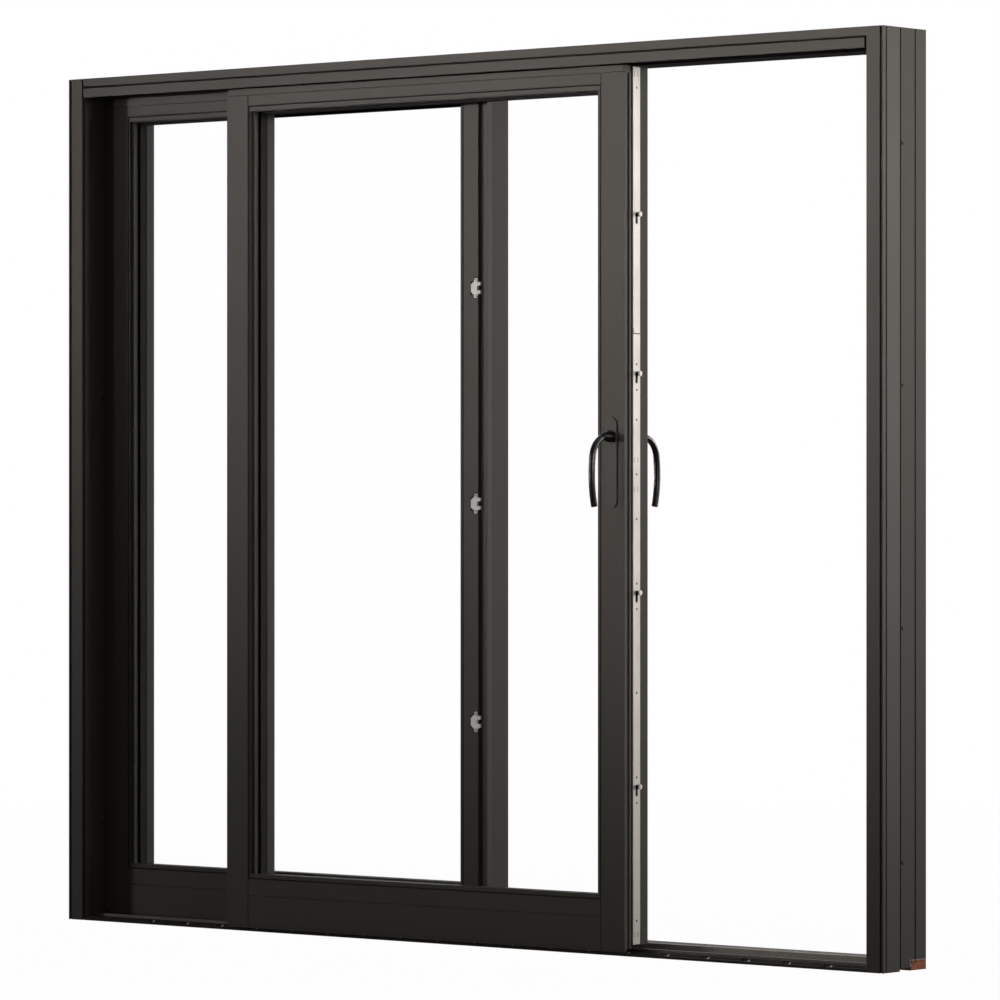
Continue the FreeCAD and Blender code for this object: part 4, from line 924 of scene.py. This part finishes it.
collar = turned([(0.0136, 0.0), (0.0158, 0.0), (0.0163, 0.0006), (0.0160, 0.0018), (0.0150, 0.0026), (0.0138, 0.0026),
                 (0.0136, 0.0)], 48)
collars = bmesh.new()
for depth, turn in ((-0.0990, math.pi / 2), (-0.0070, -math.pi / 2)):
    add_repeats(collars, collar, [(HANDLE_AXIS[0], depth, HANDLE_AXIS[1])], (turn, 0.0, 0.0), SATIN_BLACK)
bmesh.ops.remove_doubles(collars, verts=collars.verts, dist=1e-6)
finish_piece("handle_collars", collars, SATIN_BLACK, "sash")


# The room
# A plain pale floor, a soft lamp above the front, a larger one off to the right, and a white surround.


FRONT_ROOM = 0.12


def white_where_seen(tree, plain, white, mirrored=1.0):
    """Mixes a shader with white for the camera and for glass, and by the mirrored share for mirrors."""
    way = tree.nodes.new("ShaderNodeLightPath")
    mirror = add_node(tree, "ShaderNodeMath", {"operation": "MULTIPLY"})
    mirror.inputs[1].default_value = mirrored
    first = add_node(tree, "ShaderNodeMath", {"operation": "MAXIMUM"})
    second = add_node(tree, "ShaderNodeMath", {"operation": "MAXIMUM"})
    tree.links.new(way.outputs["Is Glossy Ray"], mirror.inputs[0])
    tree.links.new(way.outputs["Is Camera Ray"], first.inputs[0])
    tree.links.new(mirror.outputs["Value"], first.inputs[1])
    tree.links.new(first.outputs["Value"], second.inputs[0])
    tree.links.new(way.outputs["Is Transmission Ray"], second.inputs[1])
    pick = tree.nodes.new("ShaderNodeMixShader")
    tree.links.new(plain, pick.inputs[1])
    tree.links.new(white, pick.inputs[2])
    return second.outputs["Value"], pick


def make_world():
    """White all round for the camera. Mirrors and glass see the same white behind the door and a dimmer room in front."""
    world = bpy.data.worlds.new("white room")
    bpy.context.scene.world = world
    world.use_nodes = True
    tree = world.node_tree
    dim = tree.nodes["Background"]
    dim.inputs["Color"].default_value = (1.0, 1.0, 1.0, 1.0)
    dim.inputs["Strength"].default_value = 0.12
    way = tree.nodes.new("ShaderNodeLightPath")
    look = tree.nodes.new("ShaderNodeTexCoord")
    aside = tree.nodes.new("ShaderNodeSeparateXYZ")
    tree.links.new(look.outputs["Generated"], aside.inputs["Vector"])
    far_side = add_node(tree, "ShaderNodeMapRange",
                        values={"From Min": -0.35, "From Max": 0.2, "To Min": FRONT_ROOM, "To Max": 1.0})
    tree.links.new(aside.outputs["Y"], far_side.inputs["Value"])
    level = add_node(tree, "ShaderNodeMath", {"operation": "MAXIMUM"})
    tree.links.new(way.outputs["Is Camera Ray"], level.inputs[0])
    tree.links.new(far_side.outputs["Result"], level.inputs[1])
    white = add_node(tree, "ShaderNodeBackground", values={"Color": (1.0, 1.0, 1.0, 1.0)})
    tree.links.new(level.outputs["Value"], white.inputs["Strength"])
    seen, pick = white_where_seen(tree, dim.outputs["Background"], white.outputs["Background"])
    tree.links.new(seen, pick.inputs["Fac"])
    tree.links.new(pick.outputs["Shader"], tree.nodes["World Output"].inputs["Surface"])


def make_floor():
    """A pale painted floor that is almost white where it is seen and keeps the door's shadow."""
    mesh = bpy.data.meshes.new("floor")
    reach = 400.0
    mesh.from_pydata([(-reach, -reach, 0), (reach, -reach, 0), (reach, reach, 0), (-reach, reach, 0)], [], [(0, 1, 2, 3)])
    floor = bpy.data.objects.new("floor", mesh)
    bpy.context.scene.collection.objects.link(floor)
    material, tree, shader, place = new_material("pale floor")
    cloud = add_node(tree, "ShaderNodeTexNoise", values={"Scale": 1.5, "Detail": 2.0})
    tree.links.new(place, cloud.inputs["Vector"])
    skin = add_node(tree, "ShaderNodeValToRGB")
    skin.color_ramp.elements[0].color = (0.22, 0.22, 0.22, 1.0)
    skin.color_ramp.elements[1].color = (0.26, 0.26, 0.26, 1.0)
    tree.links.new(cloud.outputs["Fac"], skin.inputs["Fac"])
    tree.links.new(skin.outputs["Color"], shader.inputs["Base Color"])
    shader.inputs["Roughness"].default_value = 0.9
    shader.inputs["Specular IOR Level"].default_value = 0.0
    glow = add_node(tree, "ShaderNodeEmission", values={"Color": (1.0, 1.0, 1.0, 1.0), "Strength": 1.0})
    seen, pick = white_where_seen(tree, shader.outputs["BSDF"], glow.outputs["Emission"], 0.05)
    away = add_node(tree, "ShaderNodeVectorMath", {"operation": "LENGTH"})
    tree.links.new(place, away.inputs[0])
    fade = add_node(tree, "ShaderNodeMapRange",
                    values={"From Min": 1.0, "From Max": 7.0, "To Min": 0.985, "To Max": 1.0})
    tree.links.new(away.outputs["Value"], fade.inputs["Value"])
    share = add_node(tree, "ShaderNodeMath", {"operation": "MULTIPLY"})
    tree.links.new(seen, share.inputs[0])
    tree.links.new(fade.outputs["Result"], share.inputs[1])
    tree.links.new(share.outputs["Value"], pick.inputs["Fac"])
    tree.links.new(pick.outputs["Shader"], tree.nodes["Material Output"].inputs["Surface"])
    mesh.materials.append(material)


def make_lamp(name, place, aim, width, height, power, spread=180):
    """A soft rectangular lamp that points at a place and isn't seen itself."""
    data = bpy.data.lights.new(name, "AREA")
    data.shape = "RECTANGLE"
    data.size = width
    data.size_y = height
    data.energy = power
    data.spread = math.radians(spread)
    data.color = (1.0, 0.965, 0.925)
    lamp = bpy.data.objects.new(name, data)
    lamp.location = place
    lamp.rotation_euler = (Vector(aim) - Vector(place)).to_track_quat("-Z", "Y").to_euler()
    lamp.visible_camera = False
    bpy.context.scene.collection.objects.link(lamp)


make_world()
make_floor()
make_lamp("lamp_front_left", (-18.0, -16.5, 2.2), (2.1, 0.0, 3.0), 1.4, 1.0, 24.5, 14.6)
make_lamp("lamp_front", (-8.6, -18.4, 2.4), (1.1, 0.0, 3.1), 1.4, 1.0, 12.5, 17.7)
make_lamp("lamp_front_low", (-12.0, -8.5, 0.9), (-0.3, 0.0, -0.6), 1.4, 0.6, 4.6, 30)
make_lamp("lamp_side_front", (9.5, -0.68, 2.8), (0.5, -0.05, 2.4), 0.36, 1.6, 7.6, 26)
make_lamp("lamp_back_right", (6.6, 7.3, 1.6), (0.5, 0.0, 1.3), 1.2, 3.0, 12.0, 50)
make_lamp("lamp_back", (5.0, 14.0, 3.5), (0.0, 0.0, 1.0), 2.0, 1.5, 12.0, 30)
make_lamp("lamp_front_right", (12.0, -6.4, 2.2), (0.3, 0.0, 1.4), 1.0, 1.4, 2.2, 24)

bpy.context.scene.view_settings.view_transform = "Standard"
